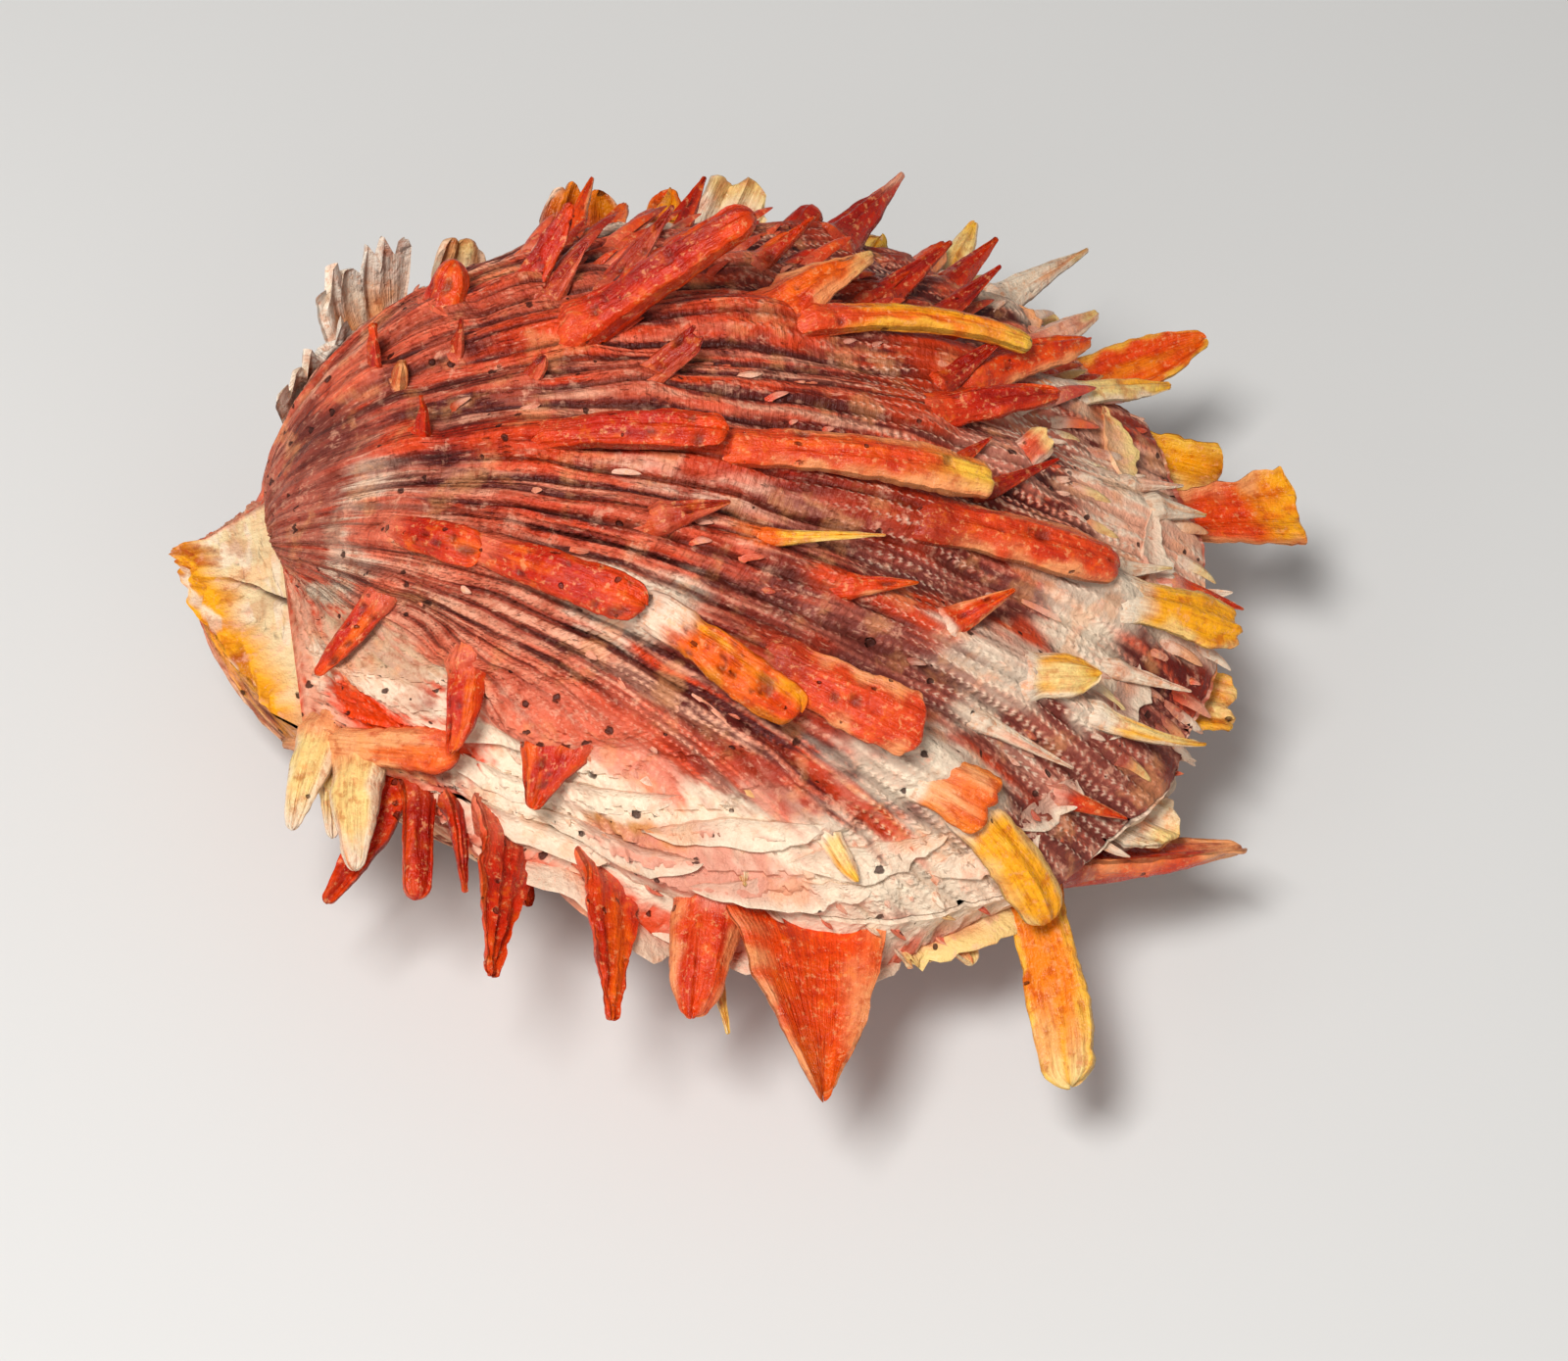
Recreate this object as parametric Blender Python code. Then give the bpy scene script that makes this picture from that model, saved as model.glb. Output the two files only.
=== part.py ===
"""A closed thorny oyster shell: two hollow valves that meet in a level plane, each grown in one with its spines.

Each valve's outside is the track of its margin as it grew. The margin is an outline in the plane of the hinge,
and a younger margin is the same outline made smaller and swung about the hinge, up for the upper valve and
down for the lower one. A point of a valve is then named by two numbers: its rib's angle, in degrees from the
middle of the shell, and its age, from 0 at the beak to 1 at the margin. The spines are placed by those two.

Metres, +Z up, +X from the beak to the far margin, +Y along the hinge.
"""

import math

import bmesh
import bpy
import numpy as np
from mathutils import Vector

MM = 0.001

SHELL_LENGTH = 97 * MM
# The hinge's middle, so that the whole part's box stands centred on the origin.
HINGE_AT = np.array([-50.4, 5.6, 26.0]) * MM
# The lower valve grew flat on what it was attached to: this far below the level plane between the valves.
SCAR_DROP = 26 * MM
VALVE_GAP = 0.3 * MM
# The hollow is the outside made smaller about this point, by these shares across and in height.
HOLLOW_AT = np.array([52.0, 0.0, 0.0]) * MM
HOLLOW_SCALE = np.array([0.86, 0.86, 0.8])
OVERCUT = 3 * MM
# The cut that keeps each valve on its own side of the plane reaches this far beyond the margin.
RIM_CLEAR = 1.6 * MM

# The outline of both valves, seen from the hinge's middle: angle in degrees, reach as a share of the length.
MARGIN = (
    (-90, 0.20), (-80, 0.235), (-70, 0.285), (-62, 0.34), (-54, 0.47), (-44, 0.66), (-34, 0.83),
    (-24, 0.94), (-12, 1.0), (0, 1.01), (12, 0.98), (24, 0.91), (34, 0.79), (44, 0.65), (54, 0.48),
    (62, 0.35), (70, 0.26), (80, 0.18), (90, 0.13),
)

RIB_STEP = 9.5
RIB_FIRST = -57.5
RIB_LAST = 47.0
RIB_HEIGHT = 1.2 * MM
AGE_ROWS = (0.05, 0.1, 0.16, 0.23, 0.31, 0.4, 0.5, 0.6, 0.7, 0.8, 0.9, 1.0)
HOLLOW_ROWS = (0.24, 0.36, 0.5, 0.64, 0.78, 0.9, 1.0)

# How each valve grew: the side it lies on, how fast and how far its margin swung, the roundness across
# its ribs, the extra width of the young shell, and where the beak stands from the hinge's middle.
UPPER = {
    "side": 1.0,
    "growth": 1.2,
    "swing_limit": 2.4,
    "arch": 0.45,
    "widen": 0.2,
    "apex": np.array([-1.0, 6.0, 1.0]) * MM,
}
LOWER = {
    "side": -1.0,
    "growth": 1.1,
    "swing_limit": 1.6,
    "arch": 0.45,
    "widen": 0.12,
    "apex": np.array([-11.0, 6.0, -2.0]) * MM,
}


def margin_reach(angle):
    """The outline's distance from the hinge's middle at an angle in degrees, on a smooth curve."""
    angles = np.array([row[0] for row in MARGIN], float)
    reach = np.array([row[1] for row in MARGIN]) * SHELL_LENGTH
    angle = np.clip(np.asarray(angle, float), -90, 90)
    i = np.clip(np.searchsorted(angles, angle) - 1, 0, len(angles) - 2)
    u = (angle - angles[i]) / (angles[i + 1] - angles[i])
    a = reach[np.maximum(i - 1, 0)]
    b = reach[i]
    c = reach[i + 1]
    d = reach[np.minimum(i + 2, len(angles) - 1)]
    return 0.5 * (2 * b + (c - a) * u + (2 * a - 5 * b + 4 * c - d) * u**2 + (3 * b - a - 3 * c + d) * u**3)


def smooth_point(valve, angle, age):
    """A point of the valve's outside without its ribs, from the hinge's middle."""
    turn = np.radians(angle)
    swing = -np.log(np.maximum(age, 0.004)) / valve["growth"]
    swing = valve["swing_limit"] * np.tanh(swing / valve["swing_limit"])
    reach = age * margin_reach(angle)
    across = np.maximum(np.cos(turn), 0)
    x = reach * across * np.cos(swing)
    y = reach * np.sin(turn) * np.maximum(age, 0.004) ** -valve["widen"]
    z = valve["side"] * reach * across ** valve["arch"] * np.sin(swing)
    point = np.stack(np.broadcast_arrays(x, y, z), -1)
    return point + (1 - np.asarray(age, float))[..., None] * valve["apex"]


def frame_at(valve, angle, age):
    """(point, growth direction, outward normal) on the smooth valve."""
    step = 0.004
    point = smooth_point(valve, angle, age)
    along = smooth_point(valve, angle, age + step) - smooth_point(valve, angle, age - step)
    side = smooth_point(valve, angle + 0.3, age) - smooth_point(valve, angle - 0.3, age)
    normal = np.cross(along, side) * valve["side"]
    normal /= np.linalg.norm(normal)
    along /= np.linalg.norm(along)
    return point, along, normal


def turned(vector, axis, degrees):
    """A vector turned about a unit axis."""
    a = math.radians(degrees)
    return (
        vector * math.cos(a)
        + np.cross(axis, vector) * math.sin(a)
        + axis * np.dot(axis, vector) * (1 - math.cos(a))
    )


# Share of the base width at even steps from base to tip.
FORMS = {
    "finger": (1.15, 1.0, 0.95, 0.9, 0.55),
    "thorn": (1.15, 0.85, 0.6, 0.35, 0.1),
    "blade": (1.1, 1.0, 0.9, 0.7, 0.25),
    "spatula": (0.9, 0.85, 0.95, 1.1, 0.6),
    "gutter": (1.1, 1.05, 0.85, 0.5, 0.08),
    "scale": (1.1, 1.05, 0.7),
    "nub": (1.1, 0.8, 0.3),
    "fan": (0.6, 0.8, 0.95, 1.1),
}
# Thickness as a share of the width, and how far the edges bend away from the middle.
SECTIONS = {
    "finger": (0.8, 0.0),
    "thorn": (0.75, 0.1),
    "blade": (0.4, 0.35),
    "spatula": (0.32, 0.3),
    "gutter": (0.16, 0.3),
    "scale": (0.3, 0.35),
    "nub": (0.7, 0.1),
    "fan": (0.13, 0.12),
}

# rib angle, age, length mm, width mm, lift from the surface, turn from the rib, bend to the tip, form
UPPER_SPINES = (
    (7.5, 0.415, 25, 4.4, 34, 9, -8, "finger"),
    (-10.5, 0.38, 18.5, 4.2, 14, 2, -22, "finger"),
    (7.5, 0.31, 5, 2.4, 62, 14, 10, "thorn"),
    (-8, 0.27, 6.5, 2.8, 62, 24, 12, "thorn"),
    (0, 0.365, 3.5, 2.2, 50, 20, 0, "nub"),
    (5.5, 0.255, 3.5, 2.4, 60, 0, 0, "nub"),
    (-0.5, 0.46, 7, 3.0, 32, 30, 0, "scale"),
    (-19, 0.49, 7, 3.2, 20, 24, -10, "thorn"),
    (-27, 0.27, 11, 4.6, 14, -8, -20, "finger"),
    (-28.5, 0.365, 18, 5.2, 12, -6, -24, "finger"),
    (-29.5, 0.54, 17, 4.4, 12, -12, -20, "finger"),
    (-29, 0.655, 15, 6.6, 16, 2, -14, "spatula"),
    (-30, 0.815, 8, 6.6, 16, 6, -10, "scale"),
    (-30, 0.885, 15, 4.8, 16, -15, -30, "finger"),
    (-9.5, 0.53, 27, 4.2, 14, 4, -26, "finger"),
    (-17.5, 0.575, 12, 1.8, 24, 12, -8, "thorn"),
    (-19.5, 0.655, 7, 2.4, 20, 20, 0, "thorn"),
    (-19, 0.745, 8, 3.4, 30, 50, 0, "thorn"),
    (-11, 0.695, 22, 4.8, 12, 6, -18, "finger"),
    (-10, 0.88, 15, 6.2, 14, 10, -10, "spatula"),
    (-5.5, 0.95, 10, 2.6, 14, 6, -8, "thorn"),
    (-5, 0.755, 9, 2.0, 24, 34, 0, "thorn"),
    (-3.5, 0.725, 5, 1.8, 32, 42, 0, "thorn"),
    (-1.5, 0.785, 5, 3.4, 24, 50, 0, "scale"),
    (1, 0.705, 15, 3.8, 24, 16, -8, "blade"),
    (5, 0.73, 10, 2.6, 40, 32, 0, "thorn"),
    (7, 0.77, 16, 4.6, 24, 20, -12, "blade"),
    (8.5, 0.62, 25, 2.9, 18, -4, -26, "blade"),
    (9.7, 0.585, 14.5, 4.6, 44, 24, -40, "blade"),
    (18.5, 0.62, 9, 2.6, 40, 14, 0, "thorn"),
    (16, 0.74, 11, 2.6, 40, 24, 0, "thorn"),
    (20, 0.855, 11, 3.0, 40, 28, 0, "thorn"),
    (14.7, 0.79, 11, 3.2, 40, 28, 0, "thorn"),
    (15.2, 0.715, 7, 2.2, 30, 22, 0, "thorn"),
    (20, 0.92, 19, 4.4, 30, 22, -4, "thorn"),
    (15, 0.91, 12.5, 3.6, 24, 26, 0, "blade"),
    (8.7, 0.89, 15, 3.2, 16, 15, -4, "blade"),
    (0, 0.935, 8, 3.0, 12, 14, -6, "thorn"),
    (1.5, 0.915, 7.5, 2.2, 18, 12, 0, "thorn"),
    (-7, 0.885, 7, 2.2, 16, 20, 0, "thorn"),
    (-19, 0.9, 13, 2.6, 22, 14, -14, "thorn"),
    (-14.5, 0.905, 9, 2.0, 16, 8, 0, "thorn"),
    (-19.5, 0.825, 8, 5.2, 14, 24, 0, "scale"),
    (-24, 0.825, 11, 2.0, 12, 4, -10, "thorn"),
    (-25, 0.93, 8, 2.4, 14, 16, -6, "thorn"),
    (-43, 0.89, 4, 2.2, 44, -30, 0, "thorn"),
    (-37.5, 0.86, 6, 2.4, 20, -14, 0, "blade"),
    (-47, 0.49, 11, 4.4, 40, -56, -6, "thorn"),
    (-47, 0.665, 8, 6.4, 40, -56, 0, "thorn"),
    (-44, 0.305, 11, 2.4, 40, -110, 0, "thorn"),
    (-67, 0.84, 5, 7.0, 30, 10, 0, "scale"),
    (-46, 0.95, 15, 7.4, 46, -42, 0, "thorn"),
    (20, 0.33, 7, 4.4, 50, 28, 0, "blade"),
    (11, 0.24, 6, 3.6, 60, 8, 0, "blade"),
    (19.5, 0.4, 10, 3.8, 44, 20, 0, "blade"),
    (15, 0.405, 8, 2.8, 44, 20, 0, "thorn"),
    (15, 0.46, 12, 2.6, 44, 22, 0, "thorn"),
    (33, 0.69, 10, 2.6, 46, 18, 0, "thorn"),
    (34, 0.68, 8, 5.0, 46, 30, 0, "blade"),
    (27, 0.81, 15, 6.0, 44, 12, 0, "thorn"),
    (29, 0.79, 6, 4.4, 50, 10, 0, "nub"),
    (36, 0.58, 10, 3.4, 46, 22, 0, "thorn"),
    (26, 0.97, 12, 3.6, 46, 34, 0, "blade"),
    (26, 0.92, 7, 4.0, 40, 20, 0, "blade"),
    (43, 0.76, 9, 4.2, 40, 0, 0, "blade"),
    (44, 0.94, 9, 3.6, 34, 0, 0, "thorn"),
)

LOWER_SPINES = (
    (-65, 0.86, 20, 5.0, 50, -56, -14, "blade"),
    (-65, 0.92, 14, 4.6, 56, -16, 0, "finger"),
    (-61, 0.92, 12, 2.8, 50, 10, 0, "thorn"),
    (-57.5, 0.93, 22, 7.4, 54, -10, 0, "blade"),
    (-51.3, 0.94, 21, 9.0, 56, -12, 0, "blade"),
    (-45, 0.92, 14, 3.0, 56, -14, 0, "thorn"),
    (-41, 0.94, 22, 15.5, 54, -32, 10, "gutter"),
    (-35, 0.92, 6, 5.0, 50, -14, 0, "scale"),
    (-33, 0.92, 8, 5.4, 50, -6, 0, "blade"),
    (-27.5, 0.95, 24, 7.0, 54, -69, -10, "spatula"),
    (-26, 0.94, 23, 7.0, 26, 46, 0, "thorn"),
    (-21, 0.95, 8, 8.0, 40, 0, 0, "scale"),
    (-11, 0.96, 8, 8.0, 40, 0, 0, "scale"),
    (3, 0.96, 19, 9.4, 42, 2, 0, "spatula"),
    (9, 0.96, 13, 9.0, 40, -30, 0, "scale"),
    (15, 0.96, 18, 7.0, 36, -8, 0, "spatula"),
    (21, 0.96, 9, 6.0, 36, 0, 0, "blade"),
    (31, 0.95, 9, 6.6, 30, 20, -6, "blade"),
    (40, 0.94, 13, 8.0, 34, 20, -30, "scale"),
    (48, 0.93, 18, 11.0, 42, 36, -50, "fan"),
    (57, 0.93, 15, 8.0, 42, 34, -50, "fan"),
    (65, 0.9, 19, 12.0, 62, 50, -64, "fan"),
    (73, 0.88, 16, 9.0, 56, 72, -56, "fan"),
    (-82, 0.88, 14, 6.0, 56, -10, 0, "blade"),
    (-76, 0.91, 15, 6.4, 56, 6, 0, "blade"),
)


def spine_frames(valve, row, sections):
    """Centre, sideways, upward and width at each section, from a start below the surface to the tip."""
    angle, age, length, width, lift, turn, bend, form = row[:8]
    base, along, normal = frame_at(valve, angle, age)
    across = np.cross(normal, along)
    heading = turned(along, normal, turn * valve["side"])
    sideways = turned(across, normal, turn * valve["side"])
    direction = turned(heading, sideways, -lift)
    upward = np.cross(direction, sideways)
    length = length * MM
    width = width * MM
    shares = FORMS[form]
    t_widths = np.linspace(0, 1, len(shares))
    buried = min(0.35, 2.4 * MM / length)
    frames = [(base - direction * buried * length - normal * 0.25 * width, sideways, upward, width * shares[0])]
    centre = base - normal * 0.18 * width
    steps = sections * 4
    for i in range(steps + 1):
        t = i / steps
        if i % 4 == 0:
            frames.append((centre.copy(), sideways, upward, width * float(np.interp(t, t_widths, shares))))
        centre = centre + direction * length / steps
        direction = turned(direction, sideways, -bend / steps)
        upward = np.cross(direction, sideways)
    return frames


def spine_mesh(bm, valve, row):
    """One closed six-sided spine added to the mesh."""
    form = row[7]
    thick, hollow = SECTIONS[form]
    sections = 2 if row[2] < 8 else 3 if row[2] < 14 else 4
    rings = []
    for centre, sideways, upward, width in spine_frames(valve, row, sections):
        half = width / 2
        depth = max(thick * width, 0.9 * MM) / 2
        ring = []
        for u, v in ((-1, -0.25), (-0.6, 0.75), (0, 1), (0.6, 0.75), (1, -0.25), (0, -0.8)):
            lift = -hollow * half * u * u
            place = centre + sideways * u * half + upward * (v * depth + lift)
            ring.append(bm.verts.new(place))
        rings.append(ring)
    for lower, upper in zip(rings, rings[1:]):
        for i in range(6):
            j = (i + 1) % 6
            bm.faces.new((lower[i], lower[j], upper[j], upper[i]))
    bm.faces.new(rings[0][::-1])
    bm.faces.new(rings[-1])


def rib_relief(angle, age):
    """Height of the rounded ribs above the smooth outside; they fade on the two ears."""
    wave = np.cos(2 * np.pi * (np.asarray(angle, float) - RIB_FIRST) / RIB_STEP)
    ends = np.clip(np.minimum(angle - RIB_FIRST, RIB_LAST - angle) / RIB_STEP + 1, 0, 1)
    return 0.5 * RIB_HEIGHT * age**0.7 * wave * ends


def rib_angles():
    """Every crest and groove between the first rib and the last, and even steps over the ears."""
    ribs = np.arange(RIB_FIRST - RIB_STEP / 2, RIB_LAST + 0.6 * RIB_STEP, RIB_STEP / 2)
    near_ear = np.linspace(-90, ribs[0], 5)[:-1]
    far_ear = np.linspace(ribs[-1], 90, 7)[1:]
    return np.concatenate([near_ear, ribs, far_ear])


def closed_bowl(bm, rows, skirt):
    """A solid from rows of points, youngest first: its outside, both ends and the area behind the hinge."""
    rows = [[bm.verts.new(point) for point in row] for row in rows + [skirt]]
    last = len(rows[0]) - 1
    for young, old in zip(rows, rows[1:]):
        for c in range(last):
            bm.faces.new((young[c], young[c + 1], old[c + 1], old[c]))
        bm.faces.new((young[last], young[0], old[0], old[last]))
    bm.faces.new(rows[-1])
    middle = bm.verts.new(sum((v.co for v in rows[0]), Vector()) / (last + 1))
    for c in range(last + 1):
        bm.faces.new((middle, rows[0][c], rows[0][(c + 1) % (last + 1)]))


def outside_rows(valve):
    """The ribbed outside, youngest row first."""
    angles = rib_angles()
    rows = []
    for age in AGE_ROWS:
        row = []
        for angle in angles:
            if abs(angle) < 89:
                point, _, normal = frame_at(valve, angle, age)
                point = point + normal * rib_relief(angle, age)
            else:
                point = smooth_point(valve, angle, age)
            if age == 1:
                point[2] = 0
            row.append(point)
        rows.append(row)
    return rows


def hollow_rows(valve):
    """The smooth outside made smaller about HOLLOW_AT."""
    angles = np.linspace(-90, 90, 25)
    rows = []
    for age in HOLLOW_ROWS:
        points = smooth_point(valve, angles, age)
        rows.append(list(HOLLOW_AT + (points - HOLLOW_AT) * HOLLOW_SCALE))
    return rows


def mesh_object(name, bm):
    """A new object in the scene from a bmesh, its faces turned outward."""
    bmesh.ops.recalc_face_normals(bm, faces=bm.faces)
    mesh = bpy.data.meshes.new(name)
    bm.to_mesh(mesh)
    bm.free()
    made = bpy.data.objects.new(name, mesh)
    made.location = HINGE_AT
    bpy.context.collection.objects.link(made)
    return made


def combined(body, helper, operation):
    """Adds one Boolean step to the body and hides its helper from the render."""
    step = body.modifiers.new(helper.name, "BOOLEAN")
    step.operation = operation
    step.object = helper
    step.solver = "MANIFOLD"  # the many thin crossings defeat EXACT
    helper.hide_render = True
    helper.display_type = "WIRE"


def bowl_object(name, rows, drop):
    """The solid of some rows, with its open side carried past the level plane by a drop."""
    bm = bmesh.new()
    skirt = [np.array([p[0], p[1], drop]) for p in rows[-1]]
    closed_bowl(bm, rows, skirt)
    return mesh_object(name, bm)


def other_side(name, valve):
    """A block over everything inside the margin on the other valve's side of the plane, with half the gap."""
    side = valve["side"]
    angles = np.linspace(-90, 90, 61)
    reach = margin_reach(angles) + RIM_CLEAR
    outline = [(r * math.cos(math.radians(a)), r * math.sin(math.radians(a))) for a, r in zip(angles, reach)]
    outline = [(-1 * MM, outline[0][1])] + outline + [(-1 * MM, outline[-1][1])]
    return prism(name, outline, side * VALVE_GAP / 2, -side * 35 * MM)


def below_floor(name):
    """A block under the height at which the lower valve grew flat."""
    corners = [(x * MM, y * MM) for x, y in ((-40, -90), (130, -90), (130, 90), (-40, 90))]
    return prism(name, corners, -SCAR_DROP, -SCAR_DROP - 30 * MM)


def prism(name, outline, near_height, far_height):
    """An upright block over an outline."""
    bm = bmesh.new()
    near = [bm.verts.new((x, y, near_height)) for x, y in outline]
    far = [bm.verts.new((x, y, far_height)) for x, y in outline]
    for i, start in enumerate(near):
        j = (i + 1) % len(near)
        bm.faces.new((start, near[j], far[j], far[i]))
    bm.faces.new(near)
    bm.faces.new(far)
    return mesh_object(name, bm)


def spine_groups(valve, table):
    """The spines shared out so that no group holds two that come near each other."""
    groups = []
    for row in table:
        frames = spine_frames(valve, row, 8)
        places = np.array([frame[0] for frame in frames])
        width = max(frame[3] for frame in frames)
        for group in groups:
            gaps = [np.linalg.norm(places[:, None] - other[None], axis=2).min() for _, other, _ in group]
            if all(gap > 0.6 * (width + wide) + 1 * MM for gap, (_, _, wide) in zip(gaps, group)):
                group.append((row, places, width))
                break
        else:
            groups.append([(row, places, width)])
    return [[row for row, _, _ in group] for group in groups]


def spines_object(name, valve, table):
    """Some spines of one valve, as closed bodies that overlap it."""
    bm = bmesh.new()
    for row in table:
        spine_mesh(bm, valve, row)
    return mesh_object(name, bm)


def lower_filler():
    """Two staggered rows of short blades round the underside of the lower valve."""
    rows = []
    for i, angle in enumerate(range(-50, 80, 13)):
        age = 0.73 + 0.1 * (i % 2)
        rows.append((angle, age, 7 + i % 3, 4.5, 38, 0, 10, "blade"))
    return rows


def painted(node, colour, roughness):
    """One plain material of the node's own."""
    material = bpy.data.materials.new(node.name)
    material.use_nodes = True
    shader = material.node_tree.nodes["Principled BSDF"]
    shader.inputs["Base Color"].default_value = (*colour, 1)
    shader.inputs["Roughness"].default_value = roughness
    shader.inputs["Metallic"].default_value = 0
    node.data.materials.append(material)


def valve_node(name, valve, table, colour):
    """One valve: its bowl and spines, cut flat at the plane and at the floor, and hollowed."""
    side = valve["side"]
    node = bowl_object(name, outside_rows(valve), -side * 0.6 * MM)
    for i, group in enumerate(spine_groups(valve, table)):
        combined(node, spines_object(f"{name}_spines_{i}", valve, group), "UNION")
    combined(node, other_side(name + "_plane", valve), "DIFFERENCE")
    if side < 0:
        combined(node, below_floor(name + "_scar"), "DIFFERENCE")
    combined(node, bowl_object(name + "_hollow", hollow_rows(valve), -side * OVERCUT), "DIFFERENCE")
    painted(node, colour, 0.45)


def main():
    for thing in list(bpy.data.objects):
        bpy.data.objects.remove(thing)
    valve_node("upper_valve", UPPER, UPPER_SPINES, (0.5, 0.13, 0.1))
    valve_node("lower_valve", LOWER, list(LOWER_SPINES) + lower_filler(), (0.62, 0.26, 0.12))


if __name__ == "__main__":
    main()
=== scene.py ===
"""The looks of the thorny oyster shell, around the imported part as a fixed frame.

Each valve is a ribbed skin over its hollow, with its spines, its prickles and its thin plates as further
pieces. A place on a valve is named by its rib's angle, in degrees from the middle of the shell, and its age,
from 0 at the beak to 1 at the margin. Metres, +Z up, +X from the beak to the far margin. Places are worked
out from the hinge's middle.
"""

import math
from collections import namedtuple

import bpy
import numpy as np
from mathutils import Matrix, Vector

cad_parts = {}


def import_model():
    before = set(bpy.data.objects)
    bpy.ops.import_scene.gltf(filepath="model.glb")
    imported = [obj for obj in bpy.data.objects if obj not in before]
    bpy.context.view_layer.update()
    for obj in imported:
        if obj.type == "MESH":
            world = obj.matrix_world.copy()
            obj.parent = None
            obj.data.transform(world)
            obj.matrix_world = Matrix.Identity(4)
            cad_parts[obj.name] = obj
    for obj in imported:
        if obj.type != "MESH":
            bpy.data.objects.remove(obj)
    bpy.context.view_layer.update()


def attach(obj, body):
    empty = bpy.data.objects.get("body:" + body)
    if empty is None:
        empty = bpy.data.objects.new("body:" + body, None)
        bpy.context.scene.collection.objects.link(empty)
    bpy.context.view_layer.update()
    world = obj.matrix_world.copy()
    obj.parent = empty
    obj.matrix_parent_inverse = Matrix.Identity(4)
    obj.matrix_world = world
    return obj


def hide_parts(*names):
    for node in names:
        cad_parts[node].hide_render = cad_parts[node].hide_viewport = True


MM = 0.001

# The same driving dimensions as the part's solids.
SHELL_LENGTH = 97 * MM
HINGE_AT = np.array([-50.4, 5.6, 26.0]) * MM
SCAR_DROP = 26 * MM
VALVE_GAP = 0.3 * MM
HOLLOW_AT = np.array([52.0, 0.0, 0.0]) * MM
HOLLOW_SCALE = np.array([0.86, 0.86, 0.8])
MARGIN = (
    (-90, 0.20), (-80, 0.235), (-70, 0.285), (-62, 0.34), (-54, 0.47), (-44, 0.66), (-34, 0.83),
    (-24, 0.94), (-12, 1.0), (0, 1.01), (12, 0.98), (24, 0.91), (34, 0.79), (44, 0.65), (54, 0.48),
    (62, 0.35), (70, 0.26), (80, 0.18), (90, 0.13),
)
RIB_STEP = 9.5
RIB_FIRST = -57.5
RIB_LAST = 47.0
RIB_HEIGHT = 1.2 * MM
UPPER = {
    "name": "upper",
    "side": 1.0,
    "growth": 1.2,
    "swing_limit": 2.4,
    "arch": 0.45,
    "widen": 0.2,
    "apex": np.array([-1.0, 6.0, 1.0]) * MM,
}
LOWER = {
    "name": "lower",
    "side": -1.0,
    "growth": 1.1,
    "swing_limit": 1.6,
    "arch": 0.45,
    "widen": 0.12,
    "apex": np.array([-11.0, 6.0, -2.0]) * MM,
}
# How far the growing edge travels for one unit of age at the middle of the shell.
GROWTH_PATH = 124 * MM

# The skins' grids: columns round the margin and over the hinge area, and rows from the beak to the margin.
MARGIN_COLUMNS = 590
HINGE_COLUMNS = 50
AGE_STEPS = 146
YOUNGEST = 0.03
# Below this age the curves of growth stand still.
LEAST_AGE = 0.004
HOLLOW_AGES = (0.97, 0.9, 0.8, 0.68, 0.54, 0.4, 0.24)

# Colours as seen, 0 to 255.
COLOURS = {
    "wine": (74, 20, 20),
    "maroon": (98, 34, 26),
    "plum": (118, 52, 42),
    "mauve": (168, 86, 68),
    "rose": (202, 88, 60),
    "salmon": (224, 102, 70),
    "blush": (238, 172, 140),
    "coral": (220, 66, 20),
    "brick": (112, 30, 16),
    "rust": (178, 50, 18),
    "red": (196, 34, 2),
    "deep": (158, 24, 6),
    "flame": (226, 66, 2),
    "orange": (236, 96, 6),
    "tangerine": (240, 126, 12),
    "amber": (246, 166, 16),
    "yellow": (248, 194, 66),
    "straw": (240, 206, 130),
    "peach": (238, 162, 104),
    "cream": (240, 218, 190),
    "chalk": (230, 206, 178),
    "bone": (232, 206, 158),
    "grey": (188, 156, 128),
    "pink": (220, 136, 112),
    "ochre": (206, 126, 12),
    "umber": (58, 22, 14),
    "porcelain": (250, 236, 218),
}

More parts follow.
